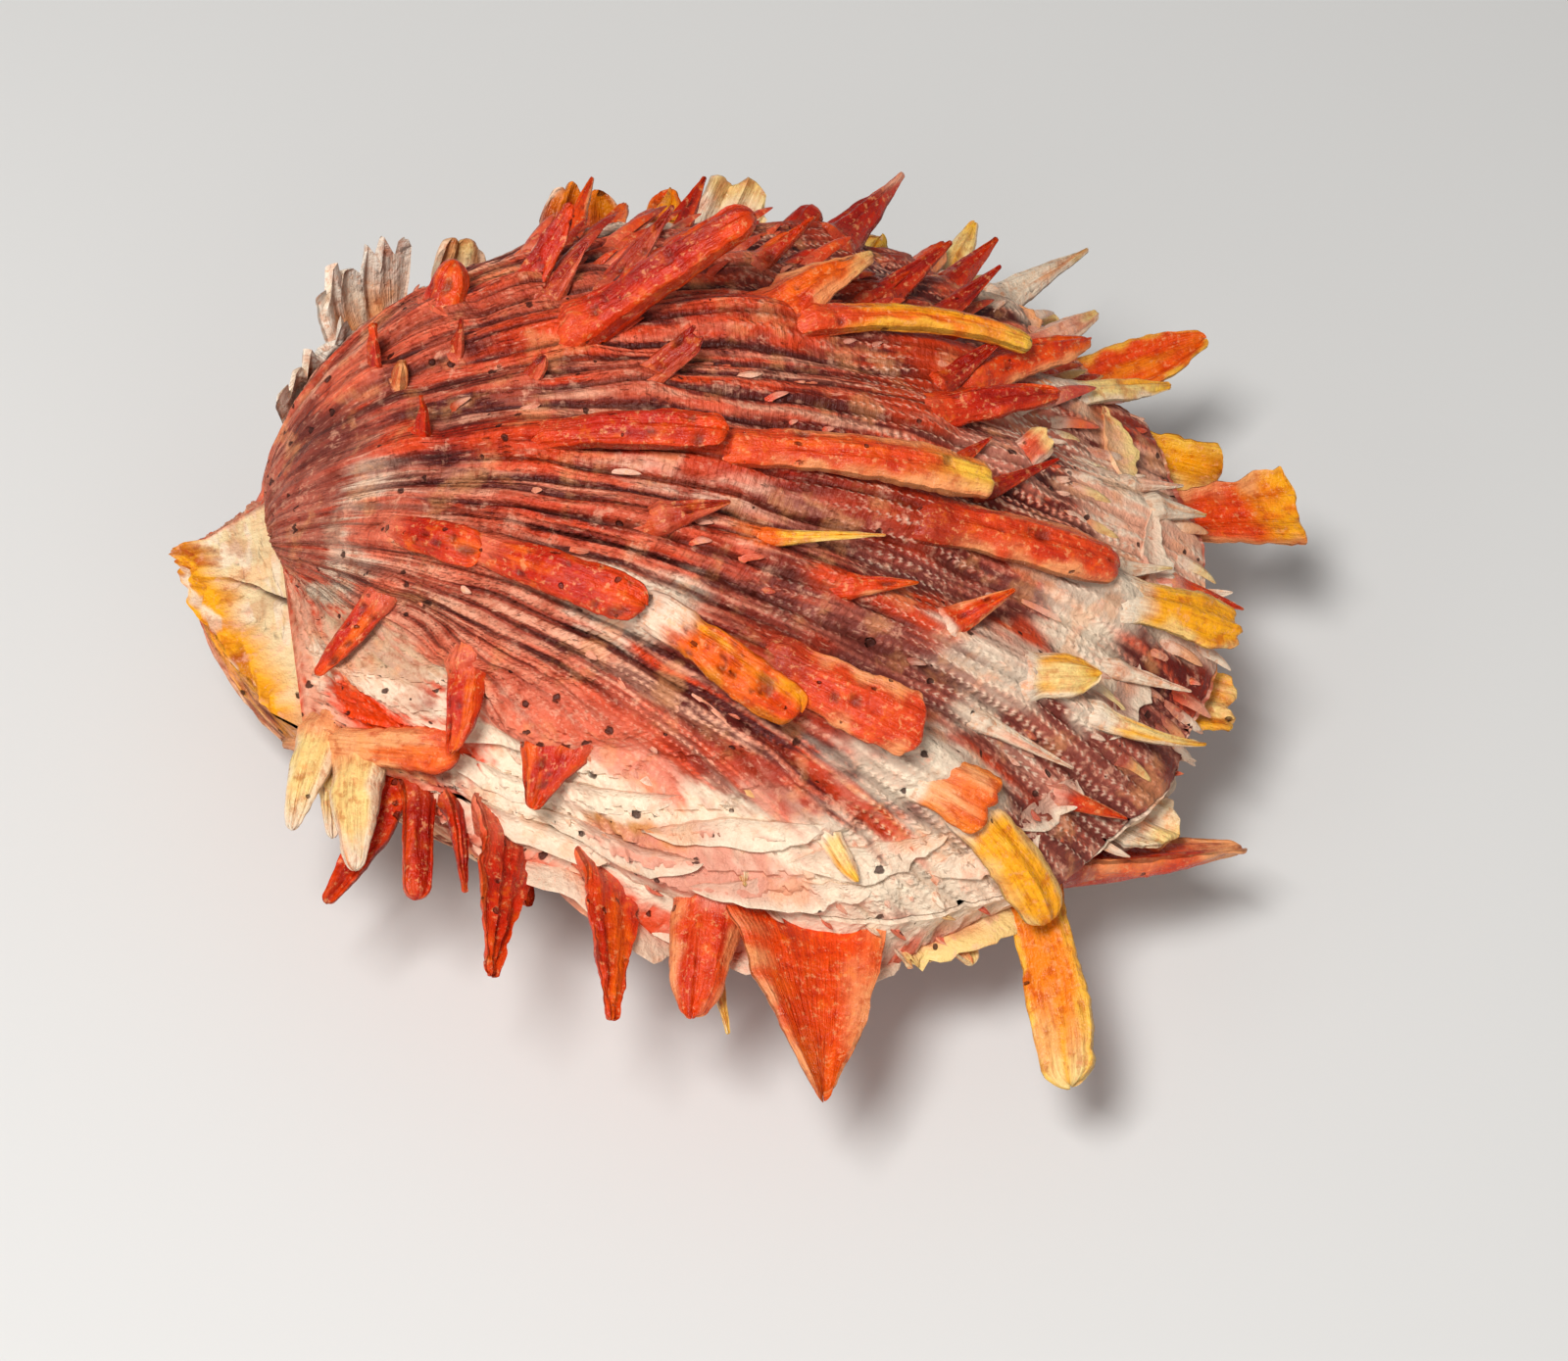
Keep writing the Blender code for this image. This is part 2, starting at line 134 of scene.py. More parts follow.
# A spine's colours: where it leaves the shell, along its body, at its tip, along its two edges and in its
# streaks.
LOOKS = {
    "red": ("coral", "red", "flame", "coral", "deep"),
    "deep": ("rust", "deep", "red", "coral", "red"),
    "rust": ("rose", "rust", "deep", "salmon", "deep"),
    "tan": ("plum", "peach", "ochre", "peach", "rust"),
    "orange": ("coral", "flame", "orange", "peach", "red"),
    "fire": ("salmon", "red", "flame", "coral", "orange"),
    "coral": ("rust", "coral", "coral", "peach", "red"),
    "coral_amber": ("coral", "coral", "yellow", "peach", "orange"),
    "bored_amber": ("cream", "orange", "flame", "ochre", "amber"),
    "sun": ("cream", "amber", "amber", "straw", "yellow"),
    "two_suns": ("coral", "tangerine", "straw", "yellow", "amber"),
    "peach": ("cream", "peach", "orange", "tangerine", "orange"),
    "lemon": ("orange", "yellow", "straw", "straw", "amber"),
    "orange_yellow": ("coral", "orange", "yellow", "yellow", "amber"),
    "orange_cream": ("coral", "orange", "straw", "peach", "red"),
    "pink": ("pink", "salmon", "straw", "cream", "coral"),
    "pink_red": ("pink", "coral", "flame", "peach", "red"),
    "cream": ("chalk", "cream", "straw", "cream", "peach"),
    "straw": ("cream", "straw", "yellow", "cream", "amber"),
    "white": ("chalk", "cream", "cream", "chalk", "blush"),
    "blush": ("salmon", "blush", "straw", "cream", "coral"),
    "red_pale": ("rust", "deep", "blush", "red", "red"),
    "fan": ("flame", "peach", "porcelain", "porcelain", "cream"),
    "brown_fan": ("flame", "rust", "tangerine", "cream", "ochre"),
    "gutter": ("flame", "flame", "orange", "peach", "orange"),
    "ochre": ("ochre", "amber", "ochre", "yellow", "straw"),
    "coral_peach": ("rust", "coral", "peach", "peach", "red"),
    "prong": ("peach", "straw", "cream", "cream", "tangerine"),
    "sunset": ("flame", "flame", "orange", "yellow", "tangerine"),
    "ledge": ("peach", "peach", "flame", "coral", "orange"),
    "flare": ("flame", "flame", "amber", "peach", "orange"),
}

# Share of the base width at even steps from base to tip.
FORMS = {
    "finger": (1.1, 1.0, 0.97, 0.94, 0.86),
    "strip": (0.8, 0.92, 1.0, 1.02, 0.86),
    "lying": (0.62, 0.86, 1.0, 1.02, 0.88),
    "flare": (0.7, 0.78, 0.92, 1.1, 1.3),
    "tongue": (0.95, 0.98, 1.04, 1.04, 0.88),
    "thorn": (1.1, 0.88, 0.64, 0.4, 0.14),
    "blade": (1.1, 1.0, 0.95, 0.76, 0.34),
    "spatula": (0.9, 0.86, 0.98, 1.12, 0.9),
    "gutter": (1.15, 1.0, 0.8, 0.5, 0.14),
    "scale": (1.1, 1.1, 1.05),
    "nub": (1.1, 0.95, 0.8),
    "fan": (0.6, 0.8, 0.98, 1.15),
    "fin": (1.5, 1.25, 0.95, 0.6, 0.3),
    "horn": (1.04, 1.02, 0.88, 0.66, 0.36),
    "ledge": (0.7, 0.86, 0.96, 1.04, 0.9),
    "strap": (0.9, 0.94, 1.04, 1.14, 1.16),
}
# Thickness and bend of the edges, the underside's share of the thickness, the depth of the flutes as a share
# of the width, how ragged the end is, how much of the end is rounded, and how uneven the edges are.
SECTIONS = {
    "finger": (0.82, 0.0, 0.9, 0.025, 0.03, 0.5, 0.05),
    "strip": (0.6, 0.06, 0.8, 0.045, 0.14, 0.24, 0.12),
    "lying": (0.76, 0.04, 0.85, 0.03, 0.06, 0.36, 0.08),
    "flare": (0.24, 0.42, 0.5, 0.05, 0.14, 0.04, 0.08),
    "tongue": (0.58, 0.08, 0.7, 0.035, 0.06, 0.42, 0.07),
    "thorn": (0.72, 0.12, 0.6, 0.04, 0.0, 0.5, 0.07),
    "blade": (0.4, 0.3, 0.4, 0.045, 0.1, 0.3, 0.09),
    "spatula": (0.28, 0.25, 0.5, 0.05, 0.12, 0.12, 0.07),
    "gutter": (0.16, 0.3, 0.8, 0.03, 0.05, 0.4, 0.05),
    "scale": (0.24, 0.3, 0.4, 0.06, 0.2, 0.04, 0.1),
    "nub": (0.72, 0.1, 0.8, 0.03, 0.0, 0.5, 0.05),
    "fan": (0.11, 0.1, 0.8, 0.035, 0.16, 0.03, 0.03),
    "fin": (0.34, 0.2, 0.6, 0.045, 0.1, 0.3, 0.16),
    "horn": (0.76, 0.08, 0.8, 0.035, 0.05, 0.5, 0.1),
    "ledge": (0.7, 0.1, 0.9, 0.05, 0.06, 0.4, 0.16),
    "strap": (0.44, 0.08, 0.6, 0.04, 0.12, 0.06, 0.07),
}
# How many flutes cross a spine's width.
FLUTES = {"fan": 5.0, "scale": 3.0, "gutter": 1.0}
USUAL_FLUTES = 2.6
# How far a fan's spikes reach beyond its end, as a share of its width.
FAN_SPIKES = 0.24
# How many borings old spines of these looks have for each millimetre of their length.
BORED = {
    "fire": 0.7, "bored_amber": 1.3, "coral_amber": 0.3, "coral": 0.25, "red": 0.35, "orange": 0.3,
    "two_suns": 0.1, "orange_cream": 0.25, "rust": 0.3,
}
FEW_BORINGS = 0.06
SPINE_COLUMNS = 36
SPINE_STEP = 0.42 * MM
# Forms that stay thick up to their tips, and the least thickness of the others and of thorns.
FULL_TO_TIP = ("finger", "strip", "tongue", "nub")
LEAST_THICKNESS = 0.8 * MM
LEAST_THORN = 0.3 * MM
BORING_DEPTH = 0.4 * MM
# Shares of the depth at which the sections of a spine's root lie under the skin.
ROOT_SHARES = np.array([-1.0, -0.8, -0.6, -0.4, -0.2])
# Turns through which the end of a spine is rounded, in degrees.
END_TURNS = (0, 22, 42, 58, 71, 81, 87)
# A wider spine's root reaches along its rib like one of this width in mm.
WIDEST_ROOT = 7
# How high the rib rises into a spine, as a share of the spine's width.
ROOT_SWELL = 0.36
FAN_SWELL = 0.1
# Edges with a sharper turn than this, in radians, stay sharp.
SHARP_ANGLE = 1.1

# The large spines: rib angle, age, length mm, width mm, lift from the surface, turn from the rib, bend to the
# tip, sideways bend to the tip, form, look.
Spine = namedtuple("Spine", "angle age length width lift turn bend swerve form look")
UPPER_SPINES = (
    (7.5, 0.415, 22, 4.8, 34, 9, -8, 0, "finger", "red"),
    (-10.5, 0.38, 18.5, 4.2, 14, 2, -22, 0, "lying", "red"),
    (7.5, 0.31, 5, 2.4, 62, 14, 10, 0, "thorn", "rust"),
    (-8, 0.27, 6.5, 2.8, 62, 24, 12, 0, "thorn", "red"),
    (0, 0.365, 3.5, 2.2, 50, 20, 0, 0, "nub", "rust"),
    (5.5, 0.255, 3.5, 2.4, 60, 0, 0, 0, "nub", "tan"),
    (-0.5, 0.46, 7, 3.0, 32, 30, 0, 0, "scale", "rust"),
    (-19, 0.49, 7, 3.2, 20, 24, -10, 0, "thorn", "rust"),
    (-27, 0.27, 11, 4.0, 14, -8, -20, 0, "lying", "fire"),
    (-28.5, 0.365, 18, 4.6, 12, -6, -24, 0, "lying", "fire"),
    (-29.5, 0.54, 17, 4.8, 12, -12, -20, 0, "strip", "bored_amber"),
    (-29, 0.655, 15.5, 6.0, 18, 2, -14, 0, "strap", "coral"),
    (-30, 0.83, 8, 6.0, 32, 6, -16, 0, "strap", "peach"),
    (-30, 0.885, 15, 5.2, 16, -9, -30, -16, "tongue", "sun"),
    (-9.5, 0.53, 27, 4.8, 14, 4, -26, 0, "strip", "coral_amber"),
    (-17.5, 0.575, 12, 1.8, 24, 12, -8, 0, "thorn", "lemon"),
    (-19.5, 0.655, 7, 2.4, 20, 20, 0, 0, "thorn", "orange"),
    (-19, 0.745, 8, 3.4, 30, 50, 0, 0, "thorn", "orange"),
    (-11, 0.695, 22, 5.4, 12, 6, -18, 0, "tongue", "coral"),
    (-10, 0.88, 15, 6.2, 14, 10, -10, 0, "spatula", "sun"),
    (-5.5, 0.95, 10, 2.6, 14, 6, -8, 0, "thorn", "pink_red"),
    (-5, 0.755, 9, 2.0, 24, 34, 0, 0, "thorn", "deep"),
    (-3.5, 0.725, 5, 1.8, 32, 42, 0, 0, "thorn", "deep"),
    (-1.5, 0.785, 5, 3.4, 36, 50, 0, 0, "scale", "pink"),
    (1, 0.705, 15, 4.4, 24, 16, -8, -10, "blade", "red"),
    (5, 0.73, 10, 3.2, 40, 32, 0, 0, "thorn", "deep"),
    (7, 0.77, 16, 5.2, 24, 20, -12, 0, "blade", "orange"),
    (8.5, 0.62, 25, 3.2, 18, 2, -26, -14, "finger", "orange_yellow"),
    (9.7, 0.585, 14.5, 5.4, 44, 24, -40, 0, "fin", "orange_cream"),
    (18.5, 0.62, 9, 3.4, 40, 14, 0, 0, "thorn", "fire"),
    (16, 0.74, 11, 3.6, 40, 24, 0, 0, "thorn", "deep"),
    (20, 0.855, 11, 3.8, 40, 28, 0, 0, "thorn", "red"),
    (14.7, 0.79, 11, 3.2, 40, 28, 0, 0, "thorn", "deep"),
    (15.2, 0.715, 7, 2.2, 30, 22, 0, 0, "thorn", "red"),
    (20, 0.92, 19, 4.4, 30, 22, -4, 0, "thorn", "cream"),
    (15, 0.91, 12.5, 3.6, 24, 26, 0, 0, "blade", "blush"),
    (8.7, 0.89, 15, 3.2, 16, 15, -4, 0, "blade", "straw"),
    (0, 0.935, 8, 3.0, 12, 14, -6, 0, "thorn", "cream"),
    (1.5, 0.915, 7.5, 2.2, 18, 12, 0, 0, "thorn", "white"),
    (-7, 0.885, 7, 2.2, 16, 20, 0, 0, "thorn", "cream"),
    (-19, 0.9, 13, 2.6, 22, 2, -14, 26, "thorn", "straw"),
    (-14.5, 0.905, 9, 2.0, 16, 8, 0, 0, "thorn", "white"),
    (-19.5, 0.825, 8, 5.0, 26, 24, -10, 0, "blade", "straw"),
    (-24, 0.825, 11, 2.0, 12, 4, -10, 0, "thorn", "white"),
    (-25, 0.93, 8, 2.4, 14, 16, -6, 0, "thorn", "pink_red"),
    (-43, 0.89, 4, 2.2, 44, -30, 0, 0, "thorn", "cream"),
    (-37.5, 0.86, 6, 2.4, 20, -14, 0, 0, "blade", "straw"),
    (-47, 0.5, 9.6, 4.2, 40, -48, -6, -24, "horn", "fire"),
    (-47, 0.665, 8, 5.6, 40, -56, 0, 0, "fin", "fire"),
    (-44, 0.315, 10.5, 3.0, 36, -110, 0, 0, "horn", "fire"),
    (-78, 0.95, 13.0, 4.4, 10, 66, -6, 0, "ledge", "ledge"),
    (-76, 0.96, 14.5, 5.4, 44, -9, -24, 0, "horn", "prong"),
    (-84, 0.96, 11.5, 4.4, 34, -22, -30, 0, "horn", "prong"),
    (-46, 0.95, 15, 7.0, 46, -42, 0, 0, "blade", "pink_red"),
    (20, 0.32, 6, 5.2, 50, 22, 0, 0, "nub", "fire"),
    (12, 0.235, 6.5, 3.8, 62, 4, 0, 0, "fin", "fire"),
    (19.5, 0.4, 10, 3.8, 44, 20, 0, 0, "blade", "red"),
    (15, 0.405, 8, 3.6, 44, 20, 0, 0, "thorn", "rust"),
    (15, 0.46, 12, 3.8, 44, 22, 0, 0, "thorn", "rust"),
    (33, 0.69, 10, 3.8, 46, 18, 0, 0, "thorn", "red"),
    (34, 0.68, 8, 5.0, 46, 30, 0, 0, "blade", "bored_amber"),
    (27, 0.81, 15, 6.0, 44, 12, 0, 0, "thorn", "red_pale"),
    (29, 0.79, 6, 4.4, 50, 10, 0, 0, "nub", "deep"),
    (36, 0.58, 10, 3.4, 46, 22, 0, 0, "thorn", "orange"),
    (26, 0.97, 12, 3.6, 46, 34, 0, 0, "blade", "straw"),
    (26, 0.92, 7, 4.0, 40, 20, 0, 0, "blade", "coral"),
    (43, 0.76, 9, 4.2, 40, 0, 0, 0, "blade", "orange"),
    (44, 0.94, 9, 3.6, 34, 0, 0, 0, "thorn", "cream"),
)
LOWER_SPINES = (
    (-65, 0.88, 17, 4.2, 66, -52, -14, -16, "horn", "red"),
    (-65, 0.94, 13, 3.4, 56, -14, 0, 0, "finger", "deep"),
    (-61, 0.94, 11, 3.2, 50, 10, 0, 0, "thorn", "deep"),
    (-57.5, 0.95, 20, 5.8, 54, -10, 0, 0, "fin", "fire"),
    (-51.3, 0.95, 19, 5.2, 56, -12, 0, 0, "fin", "fire"),
    (-45, 0.92, 14, 3.0, 56, -14, 0, 0, "thorn", "straw"),
    (-41, 0.94, 22, 15.5, 54, -32, 10, 0, "gutter", "gutter"),
    (-35, 0.92, 6, 5.0, 50, -14, 0, 0, "scale", "blush"),
    (-33, 0.92, 8, 5.4, 50, -6, 0, 0, "blade", "pink"),
    (-27.5, 0.95, 24, 6.0, 54, -64, -10, -10, "tongue", "two_suns"),
    (-26, 0.94, 23, 9.0, 26, 48, -8, 0, "blade", "coral_peach"),
    (-21, 0.95, 8, 8.0, 40, 0, 0, 0, "scale", "cream"),
    (-11, 0.96, 8, 8.0, 40, 0, 0, 0, "scale", "ochre"),
    (3, 0.96, 19, 8.4, 42, 2, 0, 0, "flare", "flare"),
    (9, 0.96, 13, 9.0, 40, -30, 0, 0, "scale", "ochre"),
    (15, 0.96, 20, 7.4, 36, 6, 0, 0, "blade", "sunset"),
    (21, 0.96, 9, 6.0, 36, 0, 0, 0, "blade", "cream"),
    (31, 0.95, 9, 6.6, 30, 20, -6, 0, "blade", "straw"),
    (40, 0.94, 13, 8.0, 34, 20, -30, 0, "scale", "cream"),
    (48, 0.93, 14, 9.5, 40, 36, -34, 0, "spatula", "brown_fan"),
    (57, 0.93, 13, 7.4, 40, 34, -34, 0, "spatula", "cream"),
    (66, 0.96, 16, 13.0, 58, 46, -44, 0, "fan", "fan"),
    (74, 0.95, 14, 13.0, 52, 62, -40, 0, "fan", "fan"),
    (-79, 0.9, 11, 3.6, 50, -6, -10, 0, "horn", "prong"),
)

# Coloured areas of the skins: rib angle, age, half width in degrees, half length in age, the colour of the
# riblets, the colour between them, and how much of it shows.
UPPER_AREAS = (
    (-3, 0.23, 24, 0.14, "mauve", "wine", 0.7),
    (-20, 0.1, 70, 0.1, "mauve", "plum", 0.6),
    (4, 0.17, 9, 0.05, "maroon", "wine", 0.7),
    (12, 0.44, 14, 0.22, "coral", "maroon", 0.6),
    (14, 0.74, 12, 0.18, "rust", "wine", 0.7),
    (-13, 0.53, 2.6, 0.1, "cream", "rose", 0.6),
    (-22, 0.5, 3.4, 0.16, "coral", "maroon", 0.75),
    (-33, 0.36, 7, 0.14, "blush", "rose", 0.6),
    (-46, 0.48, 6, 0.16, "blush", "rose", 0.65),
    (-14, 0.66, 3.6, 0.12, "mauve", "maroon", 0.85),
    (-9.5, 0.42, 2.4, 0.2, "coral", "red", 0.65),
    (-19.5, 0.47, 1.6, 0.14, "coral", "rust", 0.6),
    (-28.5, 0.42, 2.4, 0.14, "coral", "rust", 0.7),
    (-28, 0.235, 17, 0.05, "chalk", "plum", 0.75),
    (-52, 0.27, 9, 0.045, "grey", "chalk", 0.9),
    (-56, 0.46, 6, 0.14, "grey", "bone", 0.85),
    (-74, 0.6, 16, 0.34, "blush", "grey", 0.8),
    (-53, 0.84, 9, 0.26, "cream", "chalk", 1.0),
    (-44, 0.6, 5, 0.1, "salmon", "rust", 0.6),
    (-42, 0.92, 8, 0.13, "cream", "chalk", 1.0),
    (-34, 0.96, 4, 0.08, "cream", "chalk", 0.9),
    (-22, 0.84, 10, 0.27, "mauve", "plum", 0.95),
    (-28.5, 0.5, 3.4, 0.06, "cream", "salmon", 0.85),
    (-19, 0.72, 1.3, 0.12, "coral", "rust", 0.85),
    (-26.6, 0.78, 1.0, 0.13, "coral", "rust", 0.8),
    (-30.5, 0.72, 2.2, 0.09, "coral", "rust", 0.8),
    (-24.6, 0.9, 0.8, 0.09, "cream", "mauve", 0.8),
    (-21.8, 0.84, 0.6, 0.07, "blush", "mauve", 0.7),
    (-14.5, 0.87, 3.0, 0.05, "cream", "chalk", 0.9),
    (-9, 0.94, 2.6, 0.07, "cream", "chalk", 0.8),
    (-0.5, 0.93, 6.5, 0.1, "cream", "blush", 0.9),
    (4, 0.82, 4, 0.06, "cream", "rose", 0.85),
    (-17, 0.82, 2.2, 0.035, "orange", "coral", 0.8),
    (-38, 0.8, 1.6, 0.1, "coral", "rust", 0.65),
    (-44, 0.7, 2.2, 0.09, "pink", "coral", 0.8),
    (-34.5, 0.84, 1.0, 0.1, "peach", "coral", 0.7),
    (-47.5, 0.865, 2.6, 0.03, "ochre", "umber", 0.95),
    (34, 0.9, 18, 0.12, "salmon", "wine", 0.7),
    (-69, 0.68, 13, 0.2, "cream", "chalk", 0.9),
    (-68, 0.75, 11, 0.14, "flame", "red", 1.0),
    (66, 0.7, 20, 0.3, "pink", "plum", 0.6),
)
LOWER_AREAS = (
    (0, 0.4, 90, 0.36, "bone", "rose", 0.5),
    (-78, 0.22, 30, 0.24, "amber", "ochre", 0.95),
    (-70, 0.75, 14, 0.3, "mauve", "plum", 0.7),
    (-50, 0.94, 16, 0.14, "cream", "chalk", 0.95),
    (60, 0.8, 30, 0.3, "pink", "rose", 0.7),
    (0, 0.93, 24, 0.12, "cream", "rose", 0.6),
    (-38, 0.95, 20, 0.1, "cream", "chalk", 0.95),
)
# Patches on the riblets' crests: colour, how much of it shows, the noise from which it starts and at which it
# is full, and the noise's seed and its bumps for each degree and each unit of age.
CREST_PATCHES = (
    ("mauve", 0.45, 0.15, 0.6, 67, 0.3, 3.5),
    ("rust", 0.6, 0.2, 0.6, 72, 0.8, 9),
    # The blush patches are pale rubbed crests, partly painted highlights.
    ("blush", 0.8, 0.15, 0.5, 68, 1.1, 10),
)
# Growth stops: age, height of the step in mm.
STOPS = (
    (0.36, 0.2), (0.47, 0.25), (0.56, 0.5), (0.65, 0.5), (0.73, 0.7), (0.8, 0.7), (0.865, 0.8), (0.92, 0.8),
    (0.96, 0.7),
)

# A growth step fades out over this much age.
STEP_FADE = 0.026

# Cords fill the ribs' width four times, and riblets fill a cord's width three times.
CORD_STEP = RIB_STEP / 4
RIBLET_STEP = RIB_STEP / 12
BEAD_STEP = RIB_STEP / 11
# The length of a bead along its riblet, in mm.
BEAD_LENGTH = 1.05
# Heights in mm at the margin.
CORD_HEIGHT = 0.95
RIBLET_HEIGHT = 0.22
# Ridges that bear the largest spines: rib angle and height in mm.
BEARING_RIDGES = (
    (-47.5, 0.4), (-29, 0.9), (-19.5, 0.45), (-10, 0.8), (8.5, 0.8), (18.5, 0.6), (28, 0.5),
)
RIDGE_HALF_WIDTH = 1.9
EAR_BULGE = 4.6 * MM
CREASE_DEPTH = 1.6 * MM
# The hinge area is this wide at the margin, and the amber band along its near side is this wide.
HINGE_WIDTH = 32 * MM
AMBER_WIDTH = 6.5 * MM
# Depths in mm: how far the ligament's slit and the broken amber band lie under the hinge area.
LIGAMENT_DEPTH = 1.2
AMBER_SINK = 2.8

# Thin plates that stand off the skin: first and last rib angle, age, reach mm, rise mm, colour of the edge,
# and the length of its spikes in mm.
UPPER_PLATES = (
    (-59, -49, 0.7, 3.0, 0.8, "cream", 0.0),
    (-53, -43, 0.795, 3.6, 0.9, "chalk", 0.0),
    (-62, -52, 0.84, 3.8, 1.0, "cream", 0.6),
    (-47, -37, 0.85, 4.2, 0.9, "cream", 0.0),
    (-55, -45, 0.9, 4.4, 1.2, "chalk", 0.8),
    (-41, -32, 0.905, 4.6, 0.9, "cream", 0.4),
    (-47, -38, 0.95, 5.0, 0.8, "cream", 0.0),
    (-35, -28, 0.945, 4.4, 0.6, "cream", 0.5),
    (-60, -51, 0.955, 4.2, 1.4, "chalk", 1.2),
    (-29, -23, 0.93, 3.8, 0.7, "cream", 0.6),
    (-20, -13, 0.925, 3.6, 0.8, "cream", 0.8),
    (-8, 0, 0.93, 3.6, 0.9, "cream", 0.8),
    (2, 9, 0.93, 3.6, 0.9, "straw", 0.8),
    (12, 20, 0.94, 3.4, 0.9, "peach", 0.8),
)
LOWER_PLATES = (
    (-58, -46, 0.93, 7.0, 3.4, "chalk", 2.6),
    (-48, -36, 0.95, 5.0, 2.0, "cream", 0.8),
    (-36, -27, 0.95, 5.6, 2.2, "straw", 1.8),
    (-24, -12, 0.95, 5.4, 2.2, "cream", 1.4),
    (-14, -3, 0.95, 5.4, 2.2, "straw", 1.4),
    (10, 24, 0.95, 5.4, 2.2, "cream", 1.8),
    (24, 40, 0.95, 5.4, 2.2, "cream", 2.0),
    (40, 56, 0.95, 5.0, 2.0, "blush", 2.0),
)

# Small spines in groups: how many, rib angles, ages, lengths in mm, lift in degrees, the share of their own
# colour, and their colours.
UPPER_PRICKLES = (
    (300, (-54, 58), (0.3, 0.985), (0.8, 2.4), (16, 50), 0.35, ("cream", "blush", "salmon")),
    (52, (-21, 24), (0.76, 0.985), (3.0, 7.0), (8, 20), 0.8, ("cream", "straw", "blush", "cream", "peach")),
    (74, (6, 36), (0.42, 0.93), (3.0, 7.5), (26, 50), 0.85, ("rust", "red", "deep", "coral", "flame")),
    (30, (-50, -29), (0.6, 0.95), (2.2, 4.4), (8, 22), 0.7, ("cream", "blush", "straw")),
    (26, (10, 50), (0.85, 0.985), (3.0, 7.0), (30, 50), 0.8, ("cream", "straw", "coral")),
)
LOWER_PRICKLES = (
    (120, (-60, 60), (0.45, 0.98), (1.0, 3.4), (16, 40), 0.4, ("cream", "salmon")),
    (44, (-58, 50), (0.93, 0.99), (2.6, 5.4), (30, 60), 0.8, ("cream", "straw", "coral", "flame")),
    (56, (26, 80), (0.5, 0.96), (3.0, 7.0), (30, 54), 0.8, ("rust", "red", "coral", "flame", "peach")),
)

# How worn a surface is, its share of borings and how far it is out of the grooves, which on the skins sets
# the painted shade in the grooves.
HINGE_WEAR = np.array([1.0, 0.1, 1.0])
HOLLOW_WEAR = np.array([1.0, 0.0, 1.0])
PLATE_WEAR = np.array([0.75, 0.3, 0.8])
# What the shade between the streaks leaves of a deep and of a pale colour, of a prickle's and of the hinge's.
DEEP_SHADE = np.array([0.68, 0.46, 0.4])
PALE_SHADE = np.array([0.92, 0.8, 0.72])
PRICKLE_SHADE = np.array([0.75, 0.55, 0.5])
HINGE_SHADE = 0.8
PRICKLE_SEED = 5
PRICKLE_COLUMNS = 10
# A prickle's sections: how far along it each lies, and its share of the width.
PRICKLE_SHARES = np.array([-0.35, -0.1, 0.1, 0.3, 0.5, 0.7, 0.87, 0.96, 1.0])
PRICKLE_WIDTHS = np.array([1.7, 1.35, 1.05, 0.92, 0.8, 0.64, 0.4, 0.22, 0.08])
# A plate's sections: how far out each lies, and its share of the thickness.
PLATE_SHARES = np.array([-0.6, -0.25, 0.1, 0.35, 0.6, 0.8, 0.92, 0.98, 1.0])[:, None]
PLATE_ENDS = np.array([1, 1, 1, 1, 1, 0.95, 0.8, 0.55, 0.2])[:, None]
PLATE_THICKNESS = 0.8 * MM

# The camera, as the photograph was taken, with its aim point from the hinge's middle.
CAMERA_AZIMUTH = -14.29
CAMERA_ELEVATION = 52.69
CAMERA_ROLL = 8.79
CAMERA_DISTANCE = 417.8 * MM
CAMERA_AIM = np.array([49.4, -20.2, 6.0]) * MM
CAMERA_LENS = 93.0
CAMERA_SENSOR = 36.0

# A pale paper floor under soft lights: each light's name, place and aim in metres, its size and its power.
FLOOR_SIZE = 6
FLOOR_COLOUR = (0.66, 0.65, 0.63, 1)
LIGHTS = (
    ("key", (-0.22, -0.24, 0.64), (0, 0, 0.03), 0.18, 4.6),
    ("front", (0.1, -0.75, 0.45), (0, 0, 0.03), 0.5, 0.9),
    ("left", (-0.6, -0.5, 0.4), (-0.03, 0, 0.03), 0.3, 0.8),
)
WORLD_LIGHT = 0.27


def linear(name):
    """A named colour as the shader takes it."""
    share = np.array(COLOURS[name]) / 255
    return np.where(share < 0.04045, share / 12.92, ((share + 0.055) / 1.055) ** 2.4)


def smooth(low, high, value):
    """0 below low, 1 above high, and an even curve between."""
    u = np.clip((value - low) / (high - low), 0, 1)
    return u * u * (3 - 2 * u)


def hump(away, width):
    """1 at the middle, falling evenly to both sides."""
    return np.exp(-((away / width) ** 2))


def stacked(*parts):
    """Values side by side in a last axis, each spread over the shape of them all."""
    return np.stack(np.broadcast_arrays(*parts), -1)


def ring(columns):
    """Places once round a tube: from -1 to 1 across it, and from -1 to 1 through it."""
    theta = np.linspace(0, 2 * np.pi, columns, endpoint=False)
    return -np.cos(theta), np.sin(theta)


def lattice(x, y, z, seed):
    """A fixed number from 0 to 1 for every whole place."""
    h = (x * 374761393 + y * 668265263 + z * 1274126177 + seed * 974634777) & 0xFFFFFFFF
    h = ((h ^ (h >> 13)) * 1274126177) & 0xFFFFFFFF
    return ((h ^ (h >> 16)) & 0xFFFF) / 65535


def noise(seed, x, y, z=0.0):
    """Smooth noise from -1 to 1, with bumps about one unit across."""
    x, y, z = np.broadcast_arrays(np.asarray(x, float), y, z)
    corner = [np.floor(v).astype(np.int64) for v in (x, y, z)]
    u, v, w = (smooth(0, 1, p - c) for p, c in zip((x, y, z), corner))
    total = 0
    for i in (0, 1):
        for j in (0, 1):
            for k in (0, 1):
                share = (u if i else 1 - u) * (v if j else 1 - v) * (w if k else 1 - w)
                total = total + share * lattice(corner[0] + i, corner[1] + j, corner[2] + k, seed)
    return 2 * total - 1


